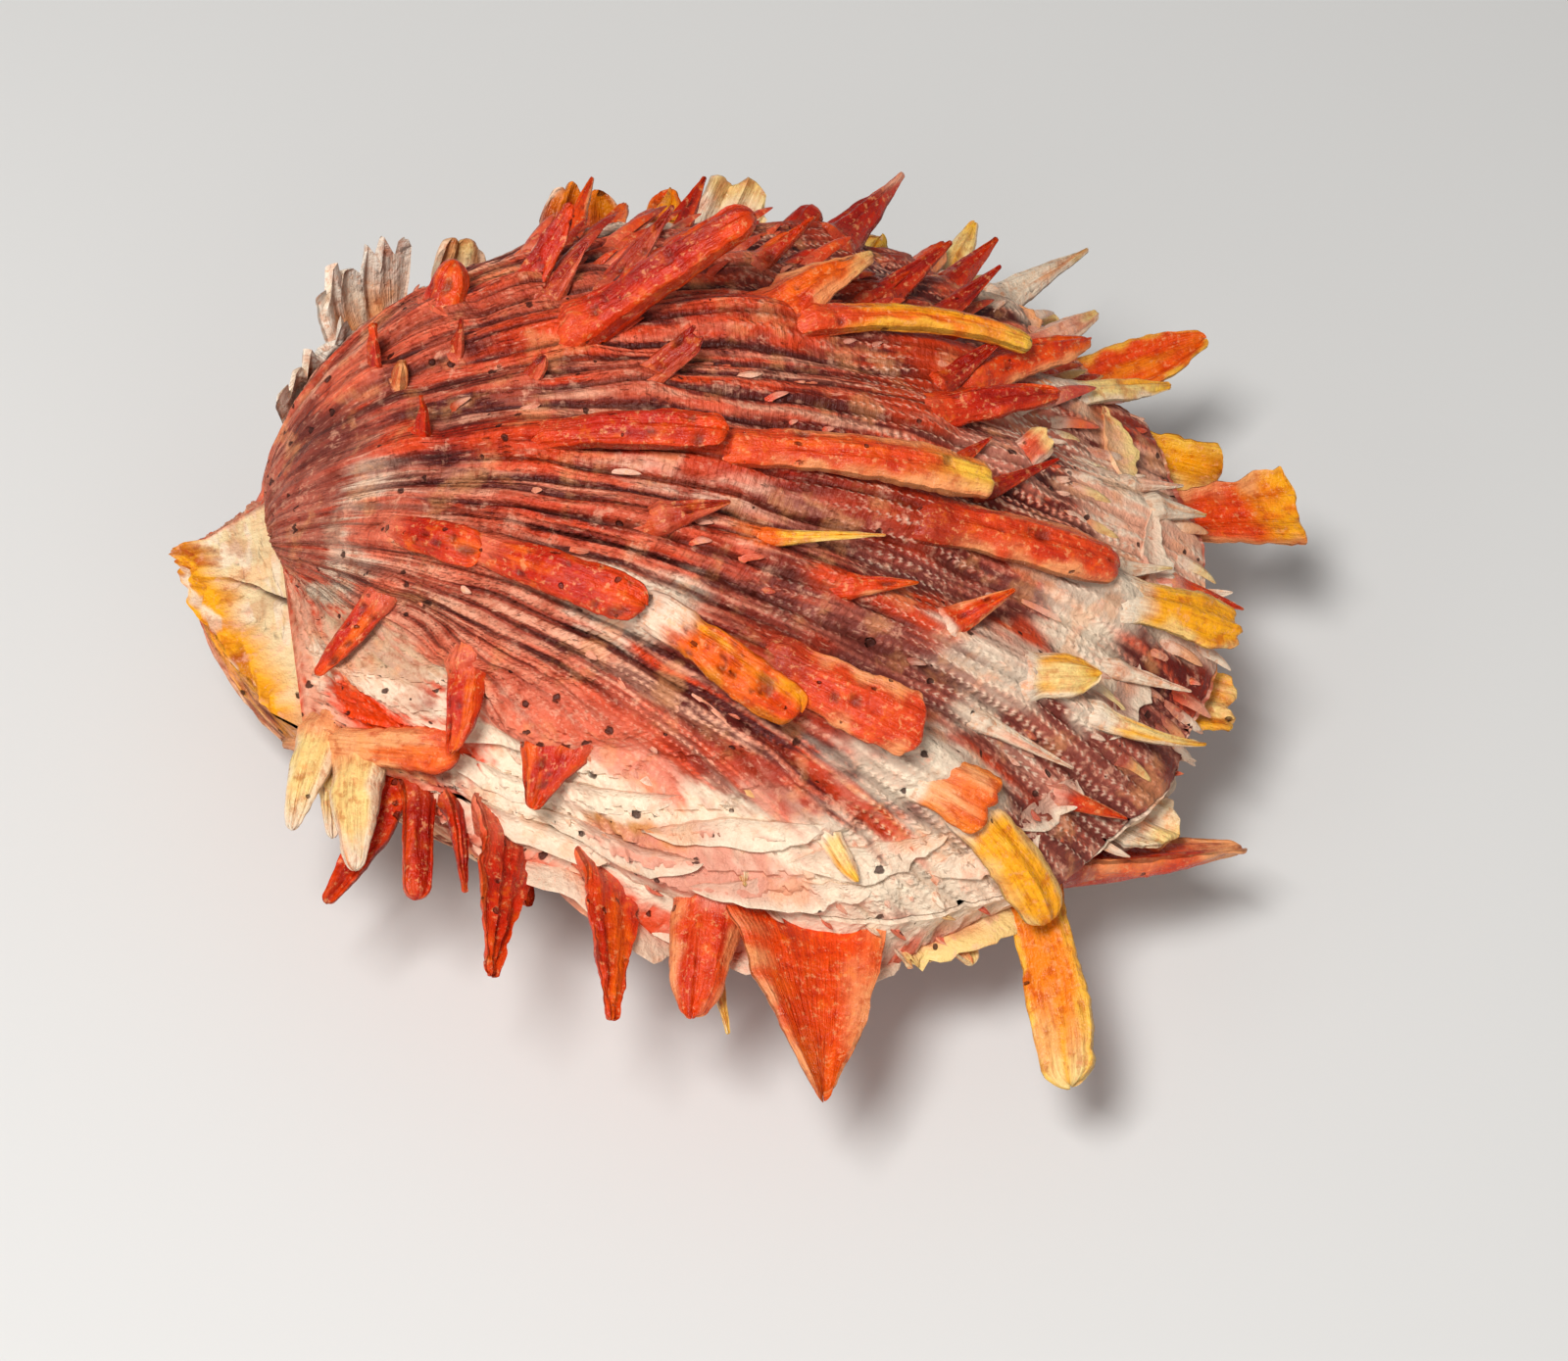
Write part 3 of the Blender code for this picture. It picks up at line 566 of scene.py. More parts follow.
def rough_noise(seed, x, y, z=0.0):
    """Noise with two finer layers."""
    return (
        noise(seed, x, y, z)
        + 0.5 * noise(seed + 1, 2.1 * x, 2.1 * y, 2.1 * z)
        + 0.25 * noise(seed + 2, 4.3 * x, 4.3 * y, 4.3 * z)
    ) / 1.4


def spline(places, values, at):
    """A smooth curve through values at rising places."""
    places = np.asarray(places, float)
    values = np.asarray(values, float)
    at = np.clip(at, places[0], places[-1])
    i = np.clip(np.searchsorted(places, at) - 1, 0, len(places) - 2)
    u = (at - places[i]) / (places[i + 1] - places[i])
    a = values[np.maximum(i - 1, 0)]
    b = values[i]
    c = values[i + 1]
    d = values[np.minimum(i + 2, len(places) - 1)]
    return 0.5 * (2 * b + (c - a) * u + (2 * a - 5 * b + 4 * c - d) * u**2 + (3 * b - a - 3 * c + d) * u**3)


def margin_reach(angle):
    """The outline's distance from the hinge's middle at an angle in degrees."""
    places, shares = zip(*MARGIN)
    return SHELL_LENGTH * spline(places, shares, np.asarray(angle, float))


def smooth_point(valve, angle, age):
    """A point of the valve's outside without its ribs, from the hinge's middle."""
    turn = np.radians(angle)
    swing = -np.log(np.maximum(age, LEAST_AGE)) / valve["growth"]
    swing = valve["swing_limit"] * np.tanh(swing / valve["swing_limit"])
    reach = age * margin_reach(angle)
    across = np.maximum(np.cos(turn), 0)
    x = reach * across * np.cos(swing)
    y = reach * np.sin(turn) * np.maximum(age, LEAST_AGE) ** -valve["widen"]
    z = valve["side"] * reach * across ** valve["arch"] * np.sin(swing)
    return stacked(x, y, z) + (1 - np.asarray(age, float))[..., None] * valve["apex"]


def unit(vectors):
    return vectors / np.maximum(np.linalg.norm(vectors, axis=-1, keepdims=True), 1e-12)


def frames_at(valve, angle, age):
    """(point, growth direction, outward normal) on the smooth valve, for numbers or arrays."""
    step = 0.004
    turn = 0.3
    angle = np.clip(angle, -89.5, 89.5)
    point = smooth_point(valve, angle, age)
    along = smooth_point(valve, angle, age + step) - smooth_point(valve, angle, age - step)
    side = smooth_point(valve, angle + turn, age) - smooth_point(valve, angle - turn, age)
    return point, unit(along), unit(np.cross(along, side)) * valve["side"]


def turned(valve, along, normal, turn):
    """(heading, sideways) of a spine that is turned from its rib by an angle in degrees."""
    a = math.radians(turn * valve["side"])
    heading = along * math.cos(a) + np.cross(normal, along) * math.sin(a)
    return heading, np.cross(normal, heading)


def ribs(angle, age):
    """The rounded ribs of the solids."""
    wave = np.cos(2 * np.pi * (angle - RIB_FIRST) / RIB_STEP)
    ends = np.clip(np.minimum(angle - RIB_FIRST, RIB_LAST - angle) / RIB_STEP + 1, 0, 1)
    return 0.5 * RIB_HEIGHT * age**0.7 * wave * ends


def wandering(angle, age):
    """The angle that a riblet had when it was young: riblets aren't quite straight."""
    return (
        angle
        + 0.55 * noise(11, angle * 0.22, age * 5)
        + 0.34 * noise(12, angle * 0.55, age * 15)
        + 0.1 * noise(14, angle * 1.6, age * 34)
    )


def cord(own, step):
    """Rounded cords with narrow grooves between them, from 0 in a groove to 1 on a crest."""
    return np.sqrt(np.abs(np.sin(np.pi * (own - RIB_FIRST + step / 2) / step)))


def cords(angle, age):
    """(height of the cords, height of the riblets, how far a place is out of the grooves)."""
    own = wandering(angle, age)
    strength = np.clip(0.9 + 0.8 * noise(13, own * 0.42, age * 4), 0.25, 1.6)
    kept = 1 - 0.75 * worn(angle, age)
    # Each young cord splits in two as the shell grows.
    split = smooth(0.24, 0.42, age)
    coarse = (1 - split) * cord(own, 2 * CORD_STEP) + split * cord(own, CORD_STEP)
    fine = cord(own, RIBLET_STEP)
    beads = 1 + 0.3 * noise(15, own * 2.0, age * 90)
    broken = 1 + 0.4 * noise(17, own * 0.8, age * 60) + 0.35 * noise(18, own * 1.1, age * 24)
    flatter = 1 - 0.45 * smooth(0.5, 0.8, age)
    high = CORD_HEIGHT * age**0.6 * flatter * (coarse - 0.6) * strength * kept * broken * MM
    low = RIBLET_HEIGHT * age**1.5 * (fine - 0.6) * beads * kept * MM
    open_share = np.clip(coarse**2.4 * broken, 0, 1)
    return high, low, open_share


def worn(angle, age):
    """How far the riblets are worn away: on the ears, the beak and the near margin."""
    ears = np.maximum(smooth(-56, -66, angle), smooth(58, 70, angle))
    near = 0.85 * smooth(-33, -45, angle) * smooth(0.5, 0.66, age)
    flank = 0.85 * smooth(-44, -52, angle) * smooth(0.26, 0.36, age)
    beak = 0.8 * smooth(0.32, 0.14, age)
    rough = 0.25 * noise(16, angle * 0.5, age * 14)
    return np.clip(np.maximum(np.maximum(ears, near), np.maximum(flank, beak)) + rough, 0, 1)


def growth_steps(valve, angle, age):
    """Thin plates that end in ragged edges, most of all near the near margin and on the ears."""
    near = 0.22 + 0.78 * np.maximum(smooth(-20, -38, angle), smooth(30, 44, angle))
    total = 0
    for i, (stop, height) in enumerate(STOPS):
        edge = stop + 0.02 * noise(20 + i, angle * 0.26, valve["side"])
        edge = edge + 0.012 * np.abs(noise(40 + i, angle * 1.3, 3.0))
        edge = edge + 0.006 * noise(60 + i, angle * 3.1, 3.0)
        behind = edge - age
        total = total + height * np.exp(-np.maximum(behind, 0) / STEP_FADE) * (behind > 0)
    return total * near * MM


def ridges(valve, angle, age):
    """The ribs rise where they bear large spines, and the near ear bulges beside a crease."""
    if valve["side"] < 0:
        return np.zeros(np.broadcast(angle, age).shape)
    own = wandering(angle, age)
    total = sum(height * MM * hump(own - at, RIDGE_HALF_WIDTH) for at, height in BEARING_RIDGES)
    ear = EAR_BULGE * hump(angle + 65, 9) * hump(age - 0.57, 0.21)
    crease_at = -47 - 26 * (age - 0.42)
    crease = CREASE_DEPTH * hump(angle - crease_at, 3.2) * smooth(0.26, 0.42, age) * smooth(1.0, 0.88, age)
    return total * smooth(0.1, 0.5, age) + ear - crease


def root_distance(row, angle, age):
    """How far a place is from a spine's root, in widths of the spine, with its young side stretched."""
    reach = margin_reach(row.angle) * row.age
    width = min(row.width, WIDEST_ROOT) * MM
    across = np.radians(angle - row.angle) * reach / (row.width * MM)
    along = (age - row.age) * GROWTH_PATH / width
    along = np.where(along < 0, along / 2.6, along / 0.9)
    return np.sqrt(across**2 + along**2)


def root_swell(valve, table, angle, age):
    """The rib rises into each spine."""
    swell = np.zeros(np.broadcast(angle, age).shape)
    for row in table:
        near = root_distance(row, angle, age)
        height = (FAN_SWELL if row.form == "fan" else ROOT_SWELL) * row.width * MM
        swell = np.maximum(swell, height * np.exp(-1.5 * near**2))
    return swell


def relief(valve, table, angle, age):
    """Everything above the smooth outside that the skin's mesh shows."""
    high, low, _ = cords(angle, age)
    lumps = 0.3 * rough_noise(50, angle * 0.45, age * 24) + 0.1 * noise(53, angle * 2.4, age * 120)
    pitted = 1 + 0.9 * worn(angle, age) + smooth(0.3, 0.15, age)
    return (
        ribs(angle, age)
        + ridges(valve, angle, age)
        + high
        + low
        + growth_steps(valve, angle, age)
        + root_swell(valve, table, angle, age)
        + lumps * pitted * (0.25 + 0.75 * age) * MM
    )


def blended(base, colour, weight):
    """The base with a colour laid over it, given by name or as linear values."""
    if isinstance(colour, str):
        colour = linear(colour)
    return base + (colour - base) * np.clip(weight, 0, 1)[..., None]


def filled(name, shape):
    """A named colour over a whole shape."""
    return np.broadcast_to(linear(name), shape + (3,))


def skin_colours(valve, table, angle, age):
    """(colour of the riblets, colour between them) over a skin."""
    areas = UPPER_AREAS if valve["side"] > 0 else LOWER_AREAS
    own = wandering(angle, age)
    number = np.floor((own - RIB_FIRST + CORD_STEP / 2) / CORD_STEP).astype(np.int64)
    none = np.zeros_like(number)
    pick = lattice(number, none, none, 7) + 0.45 * rough_noise(60, own * 0.5, age * 5)
    crest = blended(filled("salmon", own.shape), "blush", smooth(0.5, 0.95, pick))
    crest = blended(crest, "coral", smooth(0.36, 0.05, pick))
    for name, share, low, high, seed, across, along in CREST_PATCHES:
        patch = rough_noise(seed, own * across, age * along)
        crest = blended(crest, name, share * smooth(low, high, patch))
    # The ground turns towards wine in the valleys between the ribs: painted shade.
    valley_shade = 0.5 - ribs(angle, age) / RIB_HEIGHT
    ground = blended(filled("brick", own.shape), "wine", 0.35 + 0.5 * valley_shade)
    ground = blended(ground, "rust", 1.3 * rough_noise(66, own * 0.5, age * 2.5) - 0.3)
    ragged = 0.28 * rough_noise(70, own * 0.5, age * 14) + 0.22 * rough_noise(75, own * 2.2, age * 50)
    for i, (at, old, wide, deep, top, bottom, share) in enumerate(areas):
        away = np.sqrt(((angle - at) / wide) ** 2 + ((age - old) / deep) ** 2)
        away = away + ragged + 0.1 * noise(80 + i, own * 0.4, age * 9)
        weight = share * smooth(1.2, 0.75, away)
        crest = blended(crest, top, weight)
        ground = blended(ground, bottom, weight)
    patchy = 0.35 * noise(160, own * 1.3, age * 30) + 0.25 * noise(161, own * 3.0, age * 70)
    for row in table:
        near = 1.5 * root_distance(row, angle, age) + patchy
        weight = 0.9 * smooth(1.5, 0.6, near)
        root = linear(LOOKS[row.look][0])
        crest = blended(crest, root, weight)
        ground = blended(ground, root * 0.8, 0.85 * weight)
    return crest, ground


def margin_angles():
    """The angles of the columns along the margin, closest together on the valves' ribbed part."""
    fine = np.linspace(-90, 90, 3601)
    reach = margin_reach(fine)
    x = reach * np.cos(np.radians(fine))
    y = reach * np.sin(np.radians(fine))
    dense = 0.6 + 0.7 * smooth(-76, -58, fine) * smooth(48, 34, fine)
    walked = np.concatenate([[0], np.cumsum(np.hypot(np.diff(x), np.diff(y)) * dense[1:])])
    return np.interp(np.linspace(0, walked[-1], MARGIN_COLUMNS), walked, fine)


def hinge_area(valve, first, last, ages):
    """Rows of points from the last column back to the first, over the flat area behind the hinge."""
    even = np.linspace(-1, 1, HINGE_COLUMNS + 2)[1:-1]
    share = 0.5 + 0.5 * np.sign(even) * np.abs(even) ** 1.7
    rows = last[:, None] * (1 - share)[None, :, None] + first[:, None] * share[None, :, None]
    inward = smooth(0.05, 0.5, ages)[:, None]
    lines = 0.6 * rough_noise(80, ages[:, None] * 9, share[None] * 6)
    slit = LIGAMENT_DEPTH * hump(share - 0.5, 0.012)
    hollow = np.sin(np.pi * share) * 0.5
    band = 0
    if valve["side"] < 0:
        lumps = 0.8 + 0.5 * rough_noise(82, ages[:, None] * 7, share[None] * 4)
        band = AMBER_SINK * amber_share(share, ages) * lumps * smooth(0.03, 0.1, ages)[:, None]
    sunk = (((lines * np.sin(np.pi * share) - hollow) - slit) * inward + band) * MM
    rows[..., 0] -= sunk
    return rows, share


def amber_share(share, ages):
    """Where the lower valve's hinge area has its thick amber band, along the near side."""
    width = HINGE_WIDTH * ages[:, None]
    reach = AMBER_WIDTH + 1.2 * MM * rough_noise(84, ages[:, None] * 8, 0.0)
    edge = 1 - reach / np.maximum(width, 6 * MM)
    return smooth(0, 0.08, share[None] - edge) * smooth(1.0, 0.93, share)[None]


def flat_faces(rows, columns):
    """Quads between rows of points that each run once round."""
    r, c = np.meshgrid(np.arange(rows - 1) * columns, np.arange(columns), indexing="ij")
    n = (c + 1) % columns
    return stacked(r + c, r + n, r + columns + n, r + columns + c).reshape(-1, 4)


def volume(points, quads):
    """Signed volume inside closed quads."""
    a, b, c, d = (points[quads[:, i]] for i in range(4))
    return (np.cross(a, b) * c).sum() + (np.cross(a, c) * d).sum()


def lid(columns):
    """Faces across a ring that starts at one of its two edges, from one side straight over to the other."""
    half = columns // 2
    faces = [(0, 1, columns - 1)]
    for i in range(1, half - 1):
        faces.append((i, i + 1, columns - i - 1, columns - i))
    faces.append((half - 1, half, half + 1))
    return faces


class Piece:
    """Closed tubes of points that become one mesh, with the colours and marks that its material reads."""

    def __init__(self, name):
        self.name = name
        self.points = []
        self.faces = []
        self.marks = {"tint": [], "ground": [], "grain": [], "wear": []}
        self.count = 0

    def add_tube(self, rows, tint, ground, grain, wear):
        """Rows of points that run round, closed at both ends across the end row."""
        count, columns = rows.shape[:2]
        points = rows.reshape(-1, 3)
        quads = flat_faces(count, columns)
        last = (count - 1) * columns
        start = [face[::-1] for face in lid(columns)]
        end = [tuple(i + last for i in face) for face in lid(columns)]
        faces = quads.tolist() + start + end
        if volume(points - points.mean(0), quads) < 0:
            faces = [face[::-1] for face in faces]
        self.faces.extend([i + self.count for i in face] for face in faces)
        self.points.append(points)
        for key, values in (("tint", tint), ("ground", ground), ("grain", grain), ("wear", wear)):
            self.marks[key].append(values.reshape(count * columns, -1))
        self.count += len(points)

    def object(self):
        points = np.concatenate(self.points)
        points[:, 2] = np.maximum(points[:, 2], -SCAR_DROP)
        mesh = bpy.data.meshes.new(self.name)
        mesh.from_pydata(points + HINGE_AT, [], self.faces)
        for key in ("tint", "ground"):
            colour = np.concatenate(self.marks[key])
            colour = np.concatenate([colour, np.ones((len(colour), 1))], 1)
            made = mesh.attributes.new(key, "FLOAT_COLOR", "POINT")
            made.data.foreach_set("color", colour.astype(np.float32).ravel())
        for key in ("grain", "wear"):
            made = mesh.attributes.new(key, "FLOAT_VECTOR", "POINT")
            made.data.foreach_set("vector", np.concatenate(self.marks[key]).astype(np.float32).ravel())
        mesh.shade_smooth()
        mesh.set_sharp_from_angle(angle=SHARP_ANGLE)
        made = bpy.data.objects.new(self.name, mesh)
        bpy.context.scene.collection.objects.link(made)
        return made


def skin(valve, table):
    """The outside, hinge area, rim and hollow of a valve as one closed piece."""
    side = valve["side"]
    angles = margin_angles()
    ages = np.linspace(YOUNGEST, 1, AGE_STEPS)
    angle, age = np.meshgrid(angles, ages)
    point, _, normal = frames_at(valve, angle, age)
    raised = relief(valve, table, angle, age) * smooth(89.9, 80, np.abs(angle))
    point = point + normal * raised[..., None]
    crest, ground = skin_colours(valve, table, angle, age)
    hinge, share = hinge_area(valve, point[:, 0], point[:, -1], ages)
    rows = np.concatenate([point, hinge], 1)
    rows[..., 2] = side * np.maximum(side * rows[..., 2], VALVE_GAP / 2)
    rows[-1, :, 2] = side * VALVE_GAP / 2
    hinge_crest, hinge_ground = hinge_colours(valve, share, ages)
    tint = np.concatenate([crest, hinge_crest], 1)
    between = np.concatenate([ground, hinge_ground], 1)
    flat_age = ages[:, None]
    grain = np.concatenate(
        [
            stacked(wandering(angle, age), age * GROWTH_PATH / MM, age),
            stacked(90 + 20 * share, flat_age * GROWTH_PATH / MM, flat_age),
        ],
        1,
    )
    # Worn share, share of borings, and how far a place is out of the grooves, which the material turns into
    # painted shade.
    ribbed_wear_and_grooves = stacked(worn(angle, age), pore_share(angle, age), cords(angle, age)[2])
    wear = np.concatenate([ribbed_wear_and_grooves, np.broadcast_to(HINGE_WEAR, hinge.shape)], 1)

    inner = []
    for old in (1.0,) + HOLLOW_AGES:
        front = smooth_point(valve, angles, np.full(len(angles), old))
        front = HOLLOW_AT + (front - HOLLOW_AT) * HOLLOW_SCALE
        back = front[-1] + (front[0] - front[-1]) * share[:, None]
        inner.append(np.concatenate([front, back]))
    inner = np.array(inner)
    inner[0, :, 2] = side * VALVE_GAP / 2
    white = np.broadcast_to(linear("porcelain"), inner.shape)
    grain_in = np.broadcast_to(grain[-1], inner.shape)
    wear_in = np.broadcast_to(HOLLOW_WEAR, inner.shape)

    piece = Piece(valve["name"] + "_skin")
    piece.add_tube(
        np.concatenate([rows, inner]),
        np.concatenate([tint, white]),
        np.concatenate([between, white]),
        np.concatenate([grain, grain_in]),
        np.concatenate([wear, wear_in]),
    )
    return piece.object()


def hinge_colours(valve, share, ages):
    """Bone, with darker growth lines, a brown slit for the ligament and the lower valve's amber band."""

    def patch(seed, along, across, shift=0.0):
        return rough_noise(seed, ages[:, None] * along, share[None] * across + shift)

    lines = 0.5 + 0.5 * patch(90, 60, 3)
    crest = blended(filled("bone", lines.shape), "ochre", 0.2 * smooth(0.5, 0.9, lines))
    crest = blended(crest, "cream", 0.7 * smooth(0.1, 0.5, patch(93, 14, 9)))
    crest = blended(crest, "plum", 0.2 * smooth(0.3, 0.7, patch(97, 8, 7)))
    crest = blended(crest, "umber", 0.55 * smooth(0.045, 0.0, np.abs(patch(98, 5, 4, 7.0))))
    slit = smooth(0.02, 0.006, np.abs(share[None] - 0.5)) * smooth(0.1, 0.3, ages)[:, None]
    crest = blended(crest, "umber", 0.9 * slit)
    if valve["side"] < 0:
        band = amber_share(share, ages)
        crest = blended(crest, "amber", band)
        rusty = patch(92, 12, 9)
        crest = blended(crest, "ochre", band * smooth(-0.1, 0.3, rusty))
        crest = blended(crest, "rust", 0.6 * band * smooth(0.3, 0.7, rusty))
        crest = blended(crest, "cream", 0.8 * band * smooth(0.25, 0.55, patch(96, 6, 5, 2.0)))
    return crest, crest * HINGE_SHADE


def pore_share(angle, age):
    """Where small borings are common."""
    near = smooth(-36, -48, angle) * smooth(0.5, 0.62, age)
    beak = smooth(0.5, 0.3, age) * 0.55
    return np.clip(np.maximum(near, beak) + 0.25 + 0.3 * noise(100, angle * 0.2, age * 6), 0, 1)


def spine_pits(row, t, u, mm_along, seed):
    """How deep borings reach into the upper side of an old spine, from 0 to 1."""
    rng = np.random.default_rng(seed)
    count = int(BORED.get(row.look, FEW_BORINGS) * row.length)
    depth = np.zeros(np.broadcast(t[:, None], u[None]).shape)
    for _ in range(count):
        at_mm = rng.uniform(0.1, 0.92) * row.length
        at_u = rng.uniform(-0.75, 0.75)
        radius = 0.2 + 0.45 * rng.random() ** 2
        longer = rng.uniform(0.5, 1.1)
        away = np.hypot((mm_along - at_mm) * longer, (u[None] - at_u) * row.width / 2) / radius
        depth = np.maximum(depth, smooth(1.25, 0.5, away))
    return depth


def spine_path(valve, table, row):
    """(walked distances, end rounding, centres, across, upward, forward) of the sections of a spine."""
    base, along, normal = frames_at(valve, row.angle, row.age)
    heading, sideways = turned(valve, along, normal, row.turn)
    length = row.length * MM
    width = row.width * MM
    flat = float(smooth(48, 20, row.lift))
    buried = 2.0 * MM + (0.6 + 0.8 * flat) * width
    tip = max(SECTIONS[row.form][5] * width * FORMS[row.form][-1], 0.25 * MM)
    turns = np.radians(END_TURNS)
    body = length - tip
    steps = max(8, int(body / SPINE_STEP))
    walk = np.concatenate(
        [buried * ROOT_SHARES, np.linspace(0, body, steps + 1)[:-1], body + tip * np.sin(turns)]
    )
    end = np.concatenate([np.ones(steps + len(ROOT_SHARES)), np.cos(turns)])
    leaning = np.clip(walk / length, 0, 1)
    lifted = row.lift * (0.3 + 0.7 * smooth(-0.1, 0.24, walk / length))
    tilt = np.radians(lifted + row.bend * leaning)[:, None]
    veer = (math.radians(row.swerve * valve["side"]) * leaning**1.5)[:, None]
    ahead = heading * np.cos(veer) + sideways * np.sin(veer)
    beside = sideways * np.cos(veer) - heading * np.sin(veer)
    direction = ahead * np.cos(tilt) + normal * np.sin(tilt)
    upward = normal * np.cos(tilt) - ahead * np.sin(tilt)
    walked = np.zeros((len(walk), 3))
    walked[1:] = np.cumsum(0.5 * (direction[1:] + direction[:-1]) * np.diff(walk)[:, None], 0)
    # A spine that lies along the ribs starts on top of them, and its root sinks between them.
    raised = float(relief(valve, table, row.angle, row.age)) * (0.45 + 0.4 * flat)
    sunk = (raised + 0.7 * SECTIONS[row.form][0] * width) * np.clip(-walk / buried, 0, 1)
    height = raised - (0.18 - 0.06 * flat) * width - sunk
    centre = base + normal * height[:, None] + walked - walked[len(ROOT_SHARES)]
    return walk, end, centre, beside, upward, direction


def spine_tube(piece, valve, table, row, at_root, seed):
    """One spine: a curved, ridged and fluted body with its colours from root to tip."""
    length = row.length * MM
    width = row.width * MM
    form = row.form
    thick, hollow, under, flute, ragged, dome, uneven = SECTIONS[form]
    walk, end, centre, beside, upward, direction = spine_path(valve, table, row)
    t = walk / length
    leaning = np.clip(t, 0, 1)
    narrow = end if dome > 0.2 else 1 - 0.25 * (1 - end)
    rooted = np.clip(walk / walk[0], 0, 1)
    shares = FORMS[form]
    outline = width * spline(np.linspace(0, 1, len(shares)), shares, leaning)
    flare = (1 + 0.14 * smooth(0.24, -0.04, t)) * (1 - 0.7 * rooted)
    half = (outline * flare * narrow)[:, None] / 2
    u, v = ring(SPINE_COLUMNS)
    v = np.sign(v) * np.abs(v) ** 0.8
    face = np.sign(v)[None]
    mm_along = walk[:, None] / MM
    grown = smooth(0.0, 0.25, t)[:, None]
    least = LEAST_THORN if form == "thorn" else LEAST_THICKNESS
    swollen = (1 + 0.25 * smooth(0.22, -0.04, t)) * (1 - 0.5 * rooted)
    deep = (np.maximum(thick * outline, least) * end / 2 * swollen)[:, None]
    if form not in FULL_TO_TIP:
        deep = deep * (1 - 0.4 * smooth(0.4, 1.0, t)[:, None])
    high = v[None] * deep * np.where(v > 0, 1, under)[None]
    flutes = np.cos(np.pi * FLUTES.get(form, USUAL_FLUTES) * u + seed)[None] * (1 - 0.7 * u**2)[None]
    high = high + flute * width * flutes * grown * end[:, None] - hollow * half * u[None] ** 2
    old = BORED.get(row.look, FEW_BORINGS)
    mm_across = u[None] * width / MM
    bark = 0.045 * width * noise(seed + 5, u[None] * 3.6 + face * 5, mm_along * 0.16)
    bark = bark + 0.07 * MM * noise(seed + 6, mm_across * 1.5 + face * 5, mm_along * 1.2)
    lumps = rough_noise(seed + 7, mm_across * 0.5 + face * 5, mm_along * 0.5)
    bark = bark + (0.1 + 0.3 * old) * MM * lumps
    pits = spine_pits(row, t, u, mm_along, seed) * (v > 0)[None]
    high = high + (face * bark - BORING_DEPTH * pits) * end[:, None]

    edge = np.sign(u)[None] * 3
    rough_edge = noise(seed + 3, mm_along * 0.4, edge) + 0.5 * noise(seed + 4, mm_along * 1.3, edge)
    across = half * u[None] * (1 + uneven * rough_edge * u[None] ** 2 * grown)
    rounding = 0.12 * width * u[None] ** 4 if dome < 0.2 else 0
    frayed = ragged * width * noise(seed + 9, u[None] * 3.4, 0.5)
    ending = (frayed - rounding) * smooth(0.35, 1.0, t)[:, None]
    if form == "fan":
        spikes = np.abs(np.cos(np.pi * FLUTES[form] / 2 * u + seed / 2))[None] ** 6
        ending = ending + FAN_SPIKES * width * spikes * smooth(0.6, 1.0, t)[:, None]
    rows = (
        centre[:, None]
        + beside[:, None] * across[..., None]
        + upward[:, None] * high[..., None]
        + direction[:, None] * ending[..., None]
    )
    tint, ground = spine_colours(row, at_root, t, u, seed)
    grain = stacked(mm_across / 2 + face * 9, mm_along, seed * 3.7)
    wear = stacked(smooth(0.25, 0.0, t)[:, None], old, pits)
    piece.add_tube(rows, tint, ground, grain, wear)


def spine_colours(row, at_root, t, u, seed):
    """Colours over a spine, from the shell's own at its root to its tip, edges and streaks."""
    root, body, tip, edge, streak = (linear(name) for name in LOOKS[row.look])
    mm_along = t[:, None] * row.length
    along = t[:, None] + 0.12 * rough_noise(seed + 21, mm_along * 0.3, u[None] * 2.0)
    colour = np.broadcast_to(at_root, (len(t), len(u), 3))
    colour = blended(colour, root, smooth(-0.05, 0.08, along))
    colour = blended(colour, body, smooth(0.04, 0.28, along))
    colour = blended(colour, tip, smooth(0.6, 0.98, along))
    streaks = rough_noise(seed + 23, u[None] * 1.7, mm_along * 0.09)
    colour = blended(colour, streak, 0.85 * smooth(0.1, 0.5, streaks) * smooth(0.06, 0.3, along))
    patchy = 0.3 * noise(seed + 25, mm_along * 0.5, u[None] * 2.0)
    rim = smooth(0.62, 0.97, np.abs(u)[None] + patchy) * smooth(0.05, 0.3, t)[:, None]
    colour = blended(colour, edge, 0.75 * rim)
    pale = smooth(0.2, 0.6, colour[..., 2:])
    darker = colour * (DEEP_SHADE * (1 - pale) + PALE_SHADE * pale)
    return colour, darker


def spines(valve, table):
    piece = Piece(valve["name"] + "_spines")
    places = np.array([row[:2] for row in table])
    at_roots = skin_colours(valve, table, places[:, 0], places[:, 1])[0]
    for i, (row, at_root) in enumerate(zip(table, at_roots)):
        spine_tube(piece, valve, table, row, at_root, 200 + 17 * i)
    return piece.object()


